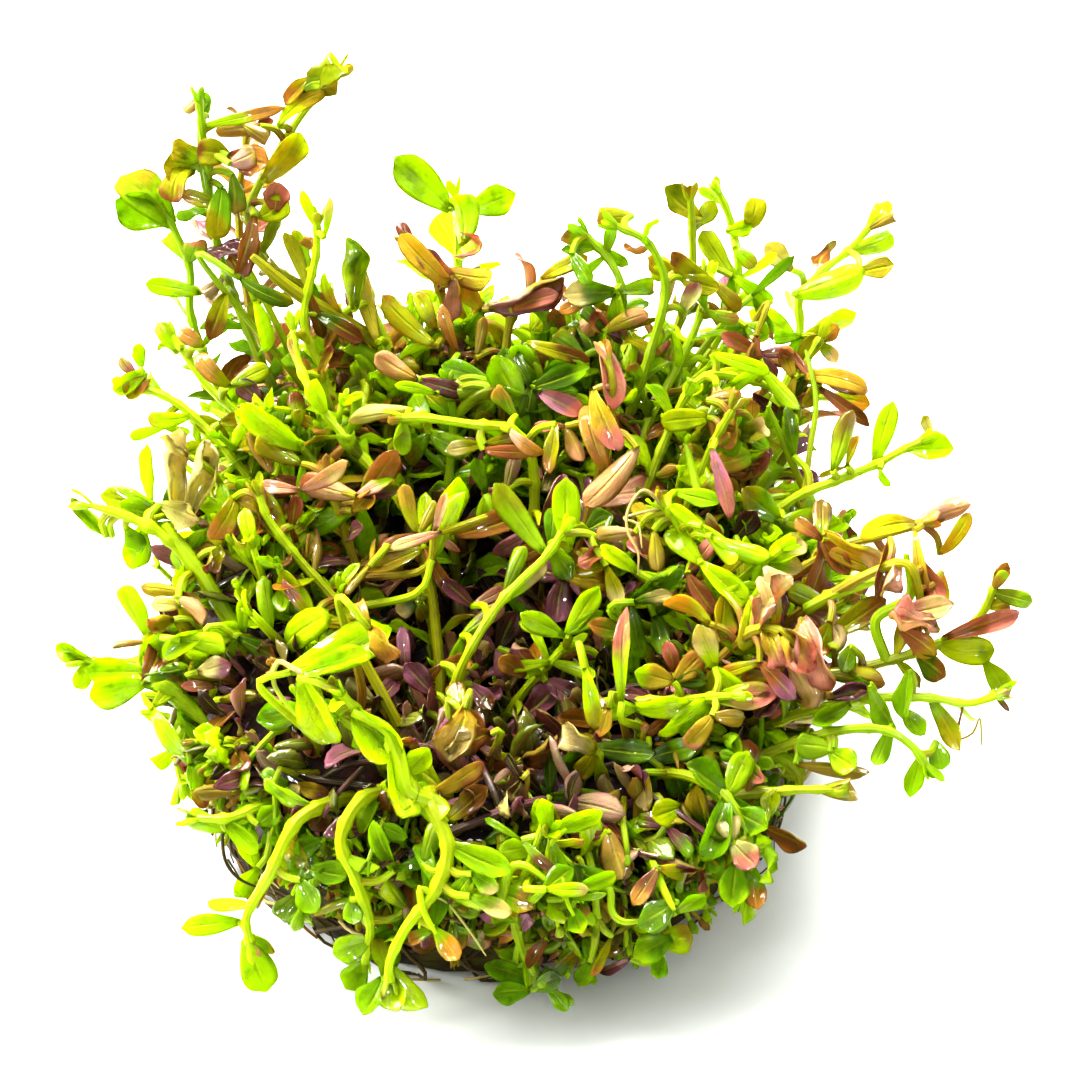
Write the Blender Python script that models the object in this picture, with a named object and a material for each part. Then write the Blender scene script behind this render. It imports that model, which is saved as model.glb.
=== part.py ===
# A portion of rotala as it comes out of its growing cup: a pad of gel and matted roots, a leafy
# tangle of old growth on it, and shoots that stand, lean and hang out of that tangle on all sides.
# The frame has its origin at the middle of the pad's underside, +Z up, and the front towards -Y.

import math
import random

import bmesh
import bpy
from mathutils import Matrix, Vector, noise
from mathutils.bvhtree import BVHTree

MM = 0.001
HALF_ROOT_TWO = math.sqrt(0.5)

# Pad of gel and roots, mm
PAD_RADIUS = 31.0
PAD_FOOT_RADIUS = 29.6
PAD_HEIGHT = 12.0
PAD_SEGMENTS = 24
PAD_LUMP = 0.7
PAD_LEVELS = ((0.0, PAD_FOOT_RADIUS), (3.0, PAD_RADIUS - 0.4), (8.0, PAD_RADIUS),
              (PAD_HEIGHT, PAD_RADIUS - 1.2))

# Old growth, mm: the rings from the foot over the rim to the hollow in the middle
TOUCH_GAP = 0.3
GROWTH_SEGMENTS = 20
GROWTH_LUMP = 1.1
GROWTH_WIDENING = 3.5
RIM_FRONT = 20.5
RIM_SIDE = 30.0
RIM_BACK = 37.0
HOLLOW_CENTRE = Vector((1.0, -7.0))
HOLLOW_FLOOR = 14.6
GROWTH_FOOT_RADIUS = 28.4
# share of the rim's height, radius
OUTER_RINGS = ((0.3, 31.0), (0.68, 30.2), (0.94, 26.0), (1.0, 21.5))
# share of the rim's height above the hollow's floor, share of the way to its centre, radius
INNER_RINGS = ((0.5, 0.45, 15.0), (0.15, 0.85, 8.5))

# Smooth bumps on the pad and the old growth: bumps round the pad, mm of height to a bump, and the
# heights at which the rings of the old growth read them
BUMPS_ROUND = 2.2
BUMP_HEIGHT = 7.0
OUTER_HEIGHT_BUMPS = 30
OUTER_RADIUS_BUMPS = (40, 60)
INNER_HEIGHT_BUMPS = 50

# Leaves of the old growth, mm: one on a small stalk in the middle of each face that has room
TANGLE_SEED = 5
TANGLE_FIRST_ROW = 1
TANGLE_LAST_ROW = 5
TANGLE_BARE_SHARE = 0.5
TANGLE_STALK_SHARE = 0.14
TANGLE_LENGTH = (5.0, 8.5)
TANGLE_WIDTH = (2.6, 3.8)
TANGLE_LIFT = 0.7
TANGLE_HANG = 0.5
TANGLE_LEAN = 0.35

# Shoots, mm
STEM_RADIUS = 0.95
STEM_TIP_RADIUS = 0.5
SOCKET_DEPTH = 3.0
LEAST_START = 0.2
RINGS_PAST_SOCKET = 3
NODE_HALF_HEIGHT = 0.45
FIRST_PAIR = 0.9
PAIR_SPACING = 3.6
PAIRS_AT_TIP = 2
MOST_PAIRS = 3
BARE_STRETCH = 4.5
LEAST_NODE_GAP = 1.0
LONGEST_STEM_FACE = 9.0
LONGEST_GAP_TO_TIP = 0.3
SPREAD_AT_TIP = math.radians(38)
SPREAD = math.radians(62)
LENGTH_SHARES = (0.8, 1.1)
TIP_PAIR_SHARE = 0.75
WIDTH_SHARES = (0.42, 0.55)
LEAF_RISE = 0.2
LEAF_THICKNESS = 0.55
# Tried in turn until a leaf has room: its share of its length, and radians it is swung round the stem
LEAF_TRIES = ((1.0, 0), (1.0, 0.4), (1.0, -0.4), (0.75, 0), (0.75, 0.5), (0.75, -0.5))
WIDEST_AT = 0.66
TIP_WIDTH_SHARE = 0.5
CLEARANCE = 0.35
FLOOR_CLEARANCE = 0.5
ROUTE_STEP = 0.5

FINISHES = {
    "lime": ((0.36, 0.62, 0.02), 0.35),
    "green": ((0.12, 0.34, 0.02), 0.35),
    "olive": ((0.24, 0.26, 0.03), 0.40),
    "russet": ((0.33, 0.12, 0.04), 0.45),
    "old_growth": ((0.10, 0.055, 0.05), 0.40),
    "root_mat": ((0.12, 0.10, 0.05), 0.30),
}

# Each shoot: finish, leaf length, and its route in mm from the pad to the tip, chosen by eye.
SHOOTS = {
    "tower_left": ("green", 4.5, [(-12, 12, 14), (-20, 19, 28), (-25, 24, 38), (-28, 29, 44),
                                  (-29, 31, 49), (-29.3, 32, 53.5), (-29.6, 33, 57), (-29.9, 34, 61)]),
    "tower_long": ("olive", 5.0, [(-4, 11, 14), (-9.5, 18.5, 30), (-14, 24.5, 38.5), (-19, 28, 41.5),
                                  (-24, 29, 45), (-25, 31, 50), (-22, 34, 55), (-19, 36, 59),
                                  (-15.8, 38, 61.5)]),
    "tower_branch": ("green", 4.5, [(-17, 9, 14), (-26, 19, 29), (-31, 24.5, 39.5), (-31.3, 27.5, 44.5),
                                    (-32.6, 29, 48), (-34.3, 30.2, 51)]),
    "tower_russet": ("russet", 4.5, [(-15, 16, 14), (-20, 25, 27), (-25, 30, 35), (-26.5, 34, 42),
                                     (-26.5, 36, 48), (-25.5, 37.5, 55)]),
    "back_far": ("lime", 6.0, [(-2, 16, 14), (-3, 28, 24), (-3.5, 38, 31), (-4, 42, 35), (-4, 44, 40),
                               (-4.3, 44.5, 42)]),
    "back_olive": ("olive", 4.5, [(7, 13, 14), (14, 21, 28), (19, 26, 38), (20.5, 28.5, 43),
                                  (20.5, 30, 47.5), (20.3, 31, 51)]),
    "back_tall": ("lime", 4.0, [(11, 16, 14), (18, 24, 26), (24, 29, 36), (25.5, 31.5, 40.5),
                                (25.2, 33.3, 43.8), (24.4, 34, 47), (23.3, 34.5, 49.5)]),
    "back_right": ("lime", 6.0, [(15, 14, 14), (25, 24, 21), (31, 31, 27), (32.5, 34.5, 31),
                                 (32.5, 36.5, 34.5), (35, 38.5, 36.5), (37.6, 39.5, 38.3), (40, 40.5, 41)]),
    "back_curl": ("green", 3.5, [(5, 11, 15), (10, 16.5, 30), (13, 21, 42), (13, 22.5, 46.5),
                                 (11.5, 24.3, 48.7), (9.5, 25.3, 50.5)]),
    "back_arch": ("green", 3.5, [(10, 8, 15), (12.5, 13, 30), (16, 17, 42), (17.5, 19.5, 48),
                                 (15.8, 21, 52.5), (12.5, 21.8, 54.2)]),
    "russet_fan": ("russet", 5.0, [(-2, 9.5, 15), (-3, 17, 30), (-4.5, 23.5, 39.5), (-5.6, 26, 43.5),
                                   (-7, 27.3, 45.3), (-8.3, 28, 47)]),
    "pink_leaf": ("russet", 5.0, [(2.5, 8, 15), (1, 15, 30), (1.5, 21.5, 41), (3.5, 23.8, 44),
                                  (6.5, 25, 46)]),
    "back_pair": ("lime", 5.5, [(-5.5, 5.5, 15), (-8.5, 11.5, 27), (-10.3, 17.5, 35), (-11, 21.5, 39.5),
                                (-12.5, 24, 42.5)]),
    "crown_right": ("green", 6.5, [(5.5, 4.5, 15), (6, 9.5, 28), (5.5, 13.5, 36), (5, 15.5, 39.5)]),
    "crown_left": ("green", 6.0, [(-3, 4, 15), (-4.5, 9, 28), (-4, 13, 36), (-4.5, 14.5, 39.5)]),
    "pink_cluster": ("russet", 7.5, [(6, 0.5, 15), (9, 3.5, 28), (11.5, 7, 38), (12, 9, 44),
                                     (11.5, 10.5, 46)]),
    "pale_stem": ("lime", 4.5, [(9.5, 3.5, 15), (13, 6.5, 26), (15, 10, 32), (15.5, 13, 35), (18, 17, 38),
                                (21, 22, 42), (22, 24.5, 45.5)]),
    "long_arc": ("lime", 5.0, [(-4.5, -8, 13), (-5.5, -5.5, 20), (-6.5, -1.5, 28), (-8, 2.5, 32),
                               (-12.5, 7, 35.5), (-17, 11, 39), (-19.5, 15, 41.5), (-20.2, 18, 44)]),
    "level_stem": ("lime", 5.0, [(2, 1, 15), (4, 4.5, 28), (4, 7.5, 35.5), (2, 8.5, 38.5), (-2, 8, 39.7),
                                 (-6.5, 8, 40.5), (-9, 8, 40.5)]),
    "left_pair": ("lime", 6.0, [(-9.5, 1, 15), (-14, 5, 27), (-18.2, 8, 35), (-21, 9.5, 37.6),
                                (-23, 10.5, 39)]),
    "pink_fold": ("russet", 5.0, [(-9, -4, 15), (-13, -1, 26), (-15.5, 2, 34), (-16.5, 3.5, 36.5)]),
    "olive_left": ("olive", 6.0, [(-7.5, -8.5, 14), (-10.5, -7.2, 20), (-14, -6, 26), (-19, -3.5, 31.5),
                                  (-22, -1.5, 35), (-23, 0, 37)]),
    "twin_leaf": ("lime", 5.5, [(-1, -11.5, 13), (0.5, -11.3, 16), (3, -10.5, 20), (5.5, -9.5, 23),
                                (7.3, -9, 25)]),
    "crossing_stem": ("lime", 6.0, [(-5, -14.5, 13), (-5, -14, 17), (-3.8, -13.2, 22.5), (-2.4, -12, 26.5),
                                    (1, -9, 31), (5.2, -6, 34), (7, -4.5, 36)]),
    "front_level": ("lime", 6.0, [(8.5, -12.5, 14), (10.5, -15, 19), (13, -16, 23.5), (18.5, -18, 26),
                                  (23.5, -19.5, 28)]),
    "folded_tip": ("lime", 5.5, [(13, -5.5, 15), (19, -7.5, 20), (22.5, -8, 25), (21.5, -5.5, 31),
                                 (18.5, -3.5, 36), (17, -3, 38)]),
    "amber_tip": ("lime", 5.0, [(16, -3, 15), (22, -3.5, 24), (25, -5.5, 31), (27, -7, 34.5),
                                (28.5, -8, 37)]),
    "wilted_hook": ("russet", 6.5, [(14.5, -10, 15), (20.5, -12.5, 24), (25, -14, 31), (27.5, -15.5, 33),
                                    (30, -17, 31.5), (32, -18, 28)]),
    "right_branch": ("lime", 6.0, [(14, 1, 15), (21, 2.5, 24), (27.5, 4, 30.5), (31, 5, 33),
                                   (34.5, 6, 34), (38.5, 7, 35.3), (41.5, 7.5, 37), (43, 8, 37.5)]),
    "right_olive": ("olive", 5.0, [(14, 7, 15), (22, 10.5, 22), (29, 13.5, 29), (31, 15.5, 34),
                                   (31.8, 18, 39), (33.5, 20, 41.5)]),
    "right_arch": ("lime", 4.5, [(10, -0.5, 15), (14, 5, 28), (18.5, 11.5, 38), (21.5, 13.5, 41.5),
                                 (25.5, 14.5, 40.5), (28, 14.5, 39.5)]),
    "bubble_leaf": ("olive", 5.5, [(13, -2, 15), (17, 1, 27), (20.5, 4.5, 34.5), (22, 6, 38.5),
                                   (24, 7.5, 42)]),
    "right_red": ("russet", 6.0, [(18, -6, 15), (26.5, -4.5, 26.5), (33.5, -5, 34), (38.5, -5.5, 36.5),
                                  (42.3, -5.5, 38)]),
    "right_droop": ("russet", 6.5, [(18.5, -9.5, 15), (25.5, -9.5, 25), (32.5, -10, 32), (37.5, -10.8, 36.5),
                                    (40.3, -12, 38.3), (41.4, -13, 36), (41.8, -14, 33)]),
    "right_tip": ("olive", 4.0, [(20, -13, 15), (29, -13.5, 24), (37.5, -15, 28), (44, -14, 30),
                                 (47.6, -12.8, 32.3), (49, -11.8, 35.3)]),
    "right_low_stem": ("lime", 4.5, [(19, -16.5, 14), (27.5, -16.5, 21.5), (36, -18, 26), (42, -19, 27.3),
                                     (46.3, -19.5, 27), (49, -19.5, 28)]),
    "right_hanging": ("green", 5.0, [(17, -20, 14), (25.5, -20.5, 20.5), (33, -21.5, 25), (37.8, -22.5, 26.3),
                                     (40.5, -23.8, 25.5), (42, -25, 24)]),
    "right_brown": ("olive", 5.5, [(21, -8, 14), (27.5, -8, 21), (31.5, -7.5, 26.5), (35, -8, 30)]),
    "right_flat": ("olive", 5.0, [(15, -22.5, 14), (22, -25, 19.5), (28.5, -26.5, 22), (32.5, -27, 22.6)]),
    "corner_hanging": ("green", 5.5, [(12, -18, 14), (17.5, -23, 21), (22, -27, 22.5), (24.3, -29.8, 20.5),
                                      (25, -31.8, 17.5), (24.7, -33, 14.8)]),
    "round_leaves": ("green", 4.0, [(9, -21, 14), (13.5, -28, 18), (16.3, -31.8, 15), (17, -33.8, 11.5),
                                    (16.5, -35, 7.5)]),
    "front_left": ("lime", 5.5, [(-8, -18, 14), (-14, -24.5, 19), (-18.5, -28.5, 20), (-21.3, -31.3, 15.5),
                                 (-23.6, -33, 11.5), (-23.4, -34, 9)]),
    "front_side": ("lime", 4.0, [(-12, -15, 14), (-18, -21, 17.5), (-22.5, -24.5, 18), (-25.5, -26, 17.8),
                                 (-28.5, -26.5, 18.3)]),
    "front_loop": ("lime", 4.5, [(-5, -19, 14), (-9.5, -25, 20.5), (-12.5, -28.5, 22.5), (-14.3, -31.3, 20),
                                 (-12.8, -33.3, 16.5), (-11.6, -34.6, 12), (-12.2, -34.8, 7)]),
    "front_long_loop": ("lime", 5.0, [(-1.5, -20, 14), (-5.5, -26.5, 21.5), (-5.7, -30.5, 24),
                                      (-4, -33.4, 21.5), (-5, -35.6, 18), (-8, -37.6, 14.5),
                                      (-9.6, -38.5, 10.8), (-9.7, -38.8, 8.6)]),
    "near_leaf": ("lime", 7.5, [(-8, -16.5, 14), (-10, -21, 19), (-10.5, -23.5, 25), (-12, -25, 30),
                                (-14, -25.3, 33.5)]),
    "front_bud": ("lime", 4.5, [(2.5, -19, 14), (4, -26.5, 17.5), (5, -31, 19.5), (5.6, -33, 22.6)]),
    "front_low": ("green", 4.0, [(1, -23, 15), (1, -29.5, 18.8), (1.8, -33.6, 14.5), (3, -35.2, 9.5),
                                 (4.5, -36.5, 6.5), (6.5, -37.3, 5)]),
    "front_right": ("lime", 4.5, [(6, -21, 14), (8.5, -27.5, 18), (9.8, -31.8, 16.5), (10.3, -34.3, 12.5)]),
    "front_corner": ("green", 4.0, [(-9.5, -21.5, 14), (-14.5, -26.5, 15.5), (-17, -29.5, 13.5),
                                    (-18.5, -31, 10)]),
    "left_low": ("lime", 4.5, [(-18, -7, 14), (-25, -9.8, 18.7), (-29.8, -11.5, 18), (-31.6, -13.3, 15.3),
                               (-31, -15.3, 12.2)]),
    "left_round": ("lime", 5.0, [(-17, -3.5, 14), (-23.5, -5.5, 19.5), (-30, -7, 21.5), (-36, -8.5, 22.5),
                                 (-40.5, -10, 24)]),
    "left_branch": ("lime", 5.0, [(-14, -0.5, 14), (-20, -1.5, 19.5), (-25, -2.5, 23.5), (-29, -2, 28),
                                  (-32.5, -0.5, 32), (-36.5, 0.5, 34), (-40, 1, 35)]),
    "left_fork": ("lime", 5.0, [(-13.5, 4, 14), (-19, 7, 24), (-25, 9, 32.5), (-29.5, 11.5, 37),
                                (-33, 13, 39.3), (-37, 14, 40)]),
    "left_upper": ("lime", 5.0, [(-11, 6.5, 14), (-17.5, 11, 26), (-25, 15, 34), (-29.3, 17.3, 37.5),
                                 (-31.5, 19.3, 40), (-32.8, 20.5, 41.5)]),
    "left_thin": ("lime", 4.0, [(-9.5, 9.5, 14), (-13.5, 14.5, 28), (-17.5, 18.5, 38), (-19.3, 21, 43),
                                (-18, 23.8, 49), (-17.8, 24.6, 52.5)]),
    "back_left_low": ("green", 5.5, [(-12, 19, 14), (-17, 29, 19), (-20, 36, 23), (-22, 41, 24)]),
    "back_low": ("green", 5.5, [(7, 20, 14), (9.5, 31, 19), (13, 38.5, 22), (14, 43, 21.5)]),
}

# Leaves that show against the background, each by where on its shoot it sits (share of the
# route), the place of its tip in mm, and its width in mm.
PLACED_LEAVES = {
    "tower_left": [(0.985, (-31.8, 33.5, 60), 1.8), (0.985, (-28.2, 35, 60.5), 1.8), (0.8,
                   (-33, 30.5, 58), 3.0)],
    "tower_long": [(0.62, (-22, 30, 47), 2.6), (0.98, (-14.2, 38.5, 62.6), 2.0), (0.93, (-21, 37, 59.8), 2.4),
                   (0.86, (-17.5, 36, 55.5), 3.2)],
    "tower_branch": [(0.97, (-38.6, 31, 53.3), 3.6), (0.97, (-36.8, 30.5, 49), 3.2),
                     (0.8, (-34.5, 27, 41.5), 2.0)],
    "tower_russet": [(0.93, (-21.5, 36.5, 53), 3.6), (0.8, (-22.5, 36, 48.5), 3.2),
                     (0.93, (-29.5, 38, 52.5), 2.8)],
    "back_far": [(0.93, (-10.5, 46, 46.5), 3.6), (0.93, (1.5, 45, 42), 3.2), (0.8, (-4, 41, 38.5), 3.6)],
    "back_olive": [(0.97, (17.5, 31, 53), 3.0), (0.97, (22.5, 30.5, 48.5), 2.6)],
    "back_tall": [(0.86, (28.5, 34, 49.5), 2.8), (0.98, (21, 34.5, 50.3), 2.0), (0.7,
                  (21.5, 32.5, 42.5), 2.8)],
    "back_right": [(0.98, (43.5, 41.5, 41.5), 2.4), (0.85, (42, 40, 37.5), 3.0), (0.7, (29.6, 37, 40.3), 2.8),
                   (0.62, (38, 36.5, 34), 3.2)],
    "right_branch": [(0.985, (46.8, 8, 36.8), 3.6), (0.86, (39.5, 8.5, 41), 2.2), (0.72, (36.5, 8, 40), 2.4),
                     (0.985, (44, 9, 40.5), 2.0)],
    "right_red": [(0.97, (46.8, -5, 39.8), 2.8), (0.97, (45.8, -6.5, 36.8), 2.4), (0.8,
                  (36.5, -5, 39.5), 2.4)],
    "right_droop": [(0.97, (50.5, -13, 32.8), 2.6), (0.97, (36.8, -14.5, 33.3), 2.8), (0.8,
                    (44, -12, 40.5), 2.2)],
    "right_tip": [(0.98, (50, -11.5, 38.8), 2.0), (0.93, (52.6, -12.3, 34.3), 2.6), (0.9,
                  (45.3, -11, 34), 2.2)],
    "right_low_stem": [(0.98, (50.6, -19.5, 31.8), 2.8), (0.98, (49.6, -20, 24.5), 1.6)],
    "right_hanging": [(0.98, (41.3, -26.2, 19.5), 2.4), (0.93, (45.3, -25.5, 22), 3.0),
                      (0.75, (36.5, -23.5, 21.5), 2.4), (0.8, (45.2, -22.3, 26.8), 2.8)],
    "front_left": [(0.93, (-29.3, -33, 10.2), 1.9), (0.98, (-22, -35, 3.6), 3.4), (0.6,
                   (-18.8, -33, 14), 1.8)],
    "front_loop": [(0.86, (-15, -36, 9.5), 3.2), (0.98, (-14, -34.5, 3), 2.8), (0.98, (-11, -36, 2.5), 2.6)],
    "front_long_loop": [(0.97, (-6.3, -39.6, 6), 2.6), (0.97, (-12, -39.8, 4.6), 3.2)],
    "front_low": [(0.97, (7.8, -37.8, 3.4), 2.0), (0.85, (1, -37, 4.5), 3.0), (0.85, (8, -37, 9), 2.6)],
    "near_leaf": [(0.95, (-20, -27, 34), 4.2), (0.95, (-9.5, -25.5, 38.5), 3.4), (0.8,
                  (-15, -28, 28.5), 2.8)],
    "twin_leaf": [(0.97, (10.8, -6.5, 30), 2.8), (0.97, (2.8, -8.5, 28.8), 3.0), (0.8, (10.5, -11, 22), 2.4)],
    "crossing_stem": [(0.95, (1, -5, 40), 3.2), (0.97, (9, -2, 41.5), 3.2), (0.78, (2.5, -10.5, 28), 2.4)],
    "front_level": [(0.55, (13.8, -13.5, 32), 2.2), (0.95, (28.5, -20.5, 27), 4.2), (0.9,
                    (21, -22, 23.5), 2.8)],
    "left_round": [(0.97, (-43.4, -10, 24.3), 3.0), (0.8, (-36.5, -10.5, 17.5), 4.0), (0.62,
                   (-37.5, -5.5, 27.5), 2.4)],
    "left_branch": [(0.97, (-42.2, 0.5, 35.3), 2.4), (0.86, (-36.5, -2.5, 29.5), 3.6), (0.86,
                    (-37, 2, 38.5), 3.0)],
    "left_fork": [(0.97, (-38.9, 14, 38.4), 3.0), (0.9, (-37, 13.5, 44), 2.6)],
    "left_upper": [(0.97, (-35, 21.5, 43.8), 2.2), (0.9, (-31.5, 20, 43.5), 2.4)],
    "left_thin": [(0.98, (-19.5, 25.3, 56.2), 1.6), (0.98, (-16.4, 25.3, 55.6), 1.4), (0.75,
                  (-21.5, 22, 48.5), 2.2)],
    "left_low": [(0.97, (-29.8, -16.8, 9), 2.0), (0.6, (-34.8, -11.2, 20.5), 2.8)],
    "corner_hanging": [(0.9, (29, -33.5, 16), 2.6), (0.97, (24.5, -34, 11), 3.4), (0.6,
                       (27.5, -30, 25), 2.6)],
    "round_leaves": [(0.9, (19.8, -36, 10), 3.6), (0.9, (13.3, -36, 9), 3.4), (0.98, (16.5, -36, 5.2), 2.2)],
    "right_flat": [(0.95, (36.7, -27, 23.4), 2.6), (0.7, (30.8, -29.5, 18.3), 3.0)],
    "pink_cluster": [(0.95, (9.5, 6.5, 38.5), 3.0), (0.7, (13.5, 1.5, 32.5), 2.8)],
    "level_stem": [(0.97, (-13.5, 8, 40), 1.8), (0.85, (-8.5, 6, 36.5), 2.6)],
    "left_pair": [(0.97, (-26, 11, 40.5), 2.6)],
    "pink_fold": [(0.95, (-19, 2, 33), 2.6), (0.95, (-12.8, 2, 34.5), 2.4)],
    "olive_left": [(0.96, (-24.5, 1, 38.8), 3.0)],
    "back_arch": [(0.97, (10.6, 22, 55), 2.8)],
    "back_curl": [(0.97, (7.2, 25.5, 52.3), 2.2), (0.9, (8, 24, 47), 2.4)],
    "russet_fan": [(0.97, (-9.6, 28.3, 49), 2.4)],
    "amber_tip": [(0.96, (32, -9, 36.5), 3.6)],
    "folded_tip": [(0.96, (13.5, -3, 36.5), 3.2), (0.96, (19.5, -2.5, 41), 2.8)],
}


def clear_scene():
    for thing in list(bpy.data.objects):
        bpy.data.objects.remove(thing, do_unlink=True)


def make_materials():
    made = {}
    for name, (colour, roughness) in FINISHES.items():
        material = bpy.data.materials.new(name)
        material.use_nodes = True
        shader = material.node_tree.nodes["Principled BSDF"]
        shader.inputs["Base Color"].default_value = (*colour, 1.0)
        shader.inputs["Roughness"].default_value = roughness
        shader.inputs["Metallic"].default_value = 0.0
        material.diffuse_color = (*colour, 1.0)
        made[name] = material
    return made


def add_object(name, bm, material):
    """Scales a mesh drawn in mm to metres, turns its faces outwards and puts it in the scene."""
    if bm.calc_volume(signed=True) < 0:
        bmesh.ops.reverse_faces(bm, faces=bm.faces)
    bmesh.ops.scale(bm, vec=(MM, MM, MM), verts=bm.verts)
    mesh = bpy.data.meshes.new(name)
    bm.to_mesh(mesh)
    bm.free()
    mesh.materials.append(material)
    made = bpy.data.objects.new(name, mesh)
    bpy.context.scene.collection.objects.link(made)
    return made


def ring(bm, centre, height_of, radius_of, segments):
    points = []
    for i in range(segments):
        angle = 2 * math.pi * i / segments
        radius = radius_of(angle)
        points.append(bm.verts.new((centre[0] + radius * math.cos(angle),
                                    centre[1] + radius * math.sin(angle), height_of(angle))))
    return points


def skin(bm, rings):
    """Walls between neighbouring rings, as bridged edge loops."""
    for lower, upper in zip(rings, rings[1:]):
        count = len(lower)
        for i in range(count):
            j = (i + 1) % count
            bm.faces.new((lower[i], lower[j], upper[j], upper[i]))


def lump(angle, height, amount):
    """A smooth bump that depends on where round the pad and how high it is."""
    place = Vector((BUMPS_ROUND * math.cos(angle), BUMPS_ROUND * math.sin(angle), height / BUMP_HEIGHT))
    return amount * noise.noise(place)


def make_pad(material):
    bm = bmesh.new()
    rings = []
    for height, radius in PAD_LEVELS:
        rings.append(ring(bm, (0, 0), lambda angle, z=height: z,
                          lambda angle, z=height, r=radius: r + lump(angle, z, PAD_LUMP), PAD_SEGMENTS))
    skin(bm, rings)
    bm.faces.new(reversed(rings[0]))
    bm.faces.new(rings[-1])
    return add_object("root_mat", bm, material)


def rim_height(angle):
    """Height of the old growth's rim: low at the front, high at the back."""
    back = math.sin(angle)
    if back > 0:
        return RIM_SIDE + (RIM_BACK - RIM_SIDE) * back
    return RIM_SIDE + (RIM_SIDE - RIM_FRONT) * back


def widening(angle):
    """How much further out the old growth reaches than at the front."""
    return GROWTH_WIDENING * (1 + math.sin(angle)) / 2


def growth_mesh():
    """The old growth as rings from its foot on the pad, over the rim, to the hollow."""
    bm = bmesh.new()
    foot = PAD_HEIGHT + TOUCH_GAP
    low, high = OUTER_RADIUS_BUMPS
    rings = [ring(bm, (0, 0), lambda a: foot, lambda a: GROWTH_FOOT_RADIUS, GROWTH_SEGMENTS)]
    for share, radius in OUTER_RINGS:
        rings.append(ring(bm, (0, 0),
                          lambda a, s=share: foot + s * (rim_height(a) - foot)
                          + lump(a, OUTER_HEIGHT_BUMPS * s, GROWTH_LUMP),
                          lambda a, s=share, r=radius: r + widening(a)
                          + lump(a, low + (high - low) * s, GROWTH_LUMP), GROWTH_SEGMENTS))
    for share, shift, radius in INNER_RINGS:
        rings.append(ring(bm, HOLLOW_CENTRE * shift,
                          lambda a, s=share: HOLLOW_FLOOR + s * (rim_height(a) - HOLLOW_FLOOR)
                          + lump(a, INNER_HEIGHT_BUMPS * s, GROWTH_LUMP),
                          lambda a, r=radius: r, GROWTH_SEGMENTS))
    skin(bm, rings)
    bm.faces.new(reversed(rings[0]))
    floor = bm.verts.new((HOLLOW_CENTRE.x, HOLLOW_CENTRE.y, HOLLOW_FLOOR))
    top = rings[-1]
    for i in range(GROWTH_SEGMENTS):
        bm.faces.new((top[i], top[(i + 1) % GROWTH_SEGMENTS], floor))
    bm.normal_update()
    return bm


class Route:
    """A smooth curve through a shoot's points, with a square frame that doesn't twist."""

    def __init__(self, points, roll):
        self.places = []
        spots = [Vector(p) for p in points]
        ends = [2 * spots[0] - spots[1]] + spots + [2 * spots[-1] - spots[-2]]
        for a, b, c, d in zip(ends, ends[1:], ends[2:], ends[3:]):
            steps = max(2, int((c - b).length / ROUTE_STEP))
            for i in range(steps):
                t = i / steps
                self.places.append(0.5 * (2 * b + (c - a) * t + (2 * a - 5 * b + 4 * c - d) * t * t
                                          + (3 * b - a - 3 * c + d) * t * t * t))
        self.places.append(spots[-1])
        self.distances = [0.0]
        for p, q in zip(self.places, self.places[1:]):
            self.distances.append(self.distances[-1] + (q - p).length)
        self.length = self.distances[-1]
        self.sides = []
        along = (self.places[1] - self.places[0]).normalized()
        side = Matrix.Rotation(roll, 3, along) @ along.orthogonal().normalized()
        for i, place in enumerate(self.places):
            ahead = self.places[min(i + 1, len(self.places) - 1)]
            behind = self.places[max(i - 1, 0)]
            along = (ahead - behind).normalized()
            side = (side - along * side.dot(along)).normalized()
            self.sides.append((along, side))

    def at(self, distance):
        """Place, direction, and the two side directions at a distance from the foot."""
        distance = min(max(distance, 0.0), self.length)
        i = 0
        while i < len(self.distances) - 2 and self.distances[i + 1] < distance:
            i += 1
        span = self.distances[i + 1] - self.distances[i]
        t = (distance - self.distances[i]) / span
        place = self.places[i].lerp(self.places[i + 1], t)
        along = self.sides[i][0].lerp(self.sides[i + 1][0], t).normalized()
        side = self.sides[i][1]
        side = (side - along * side.dot(along)).normalized()
        return place, along, side, along.cross(side)


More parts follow.
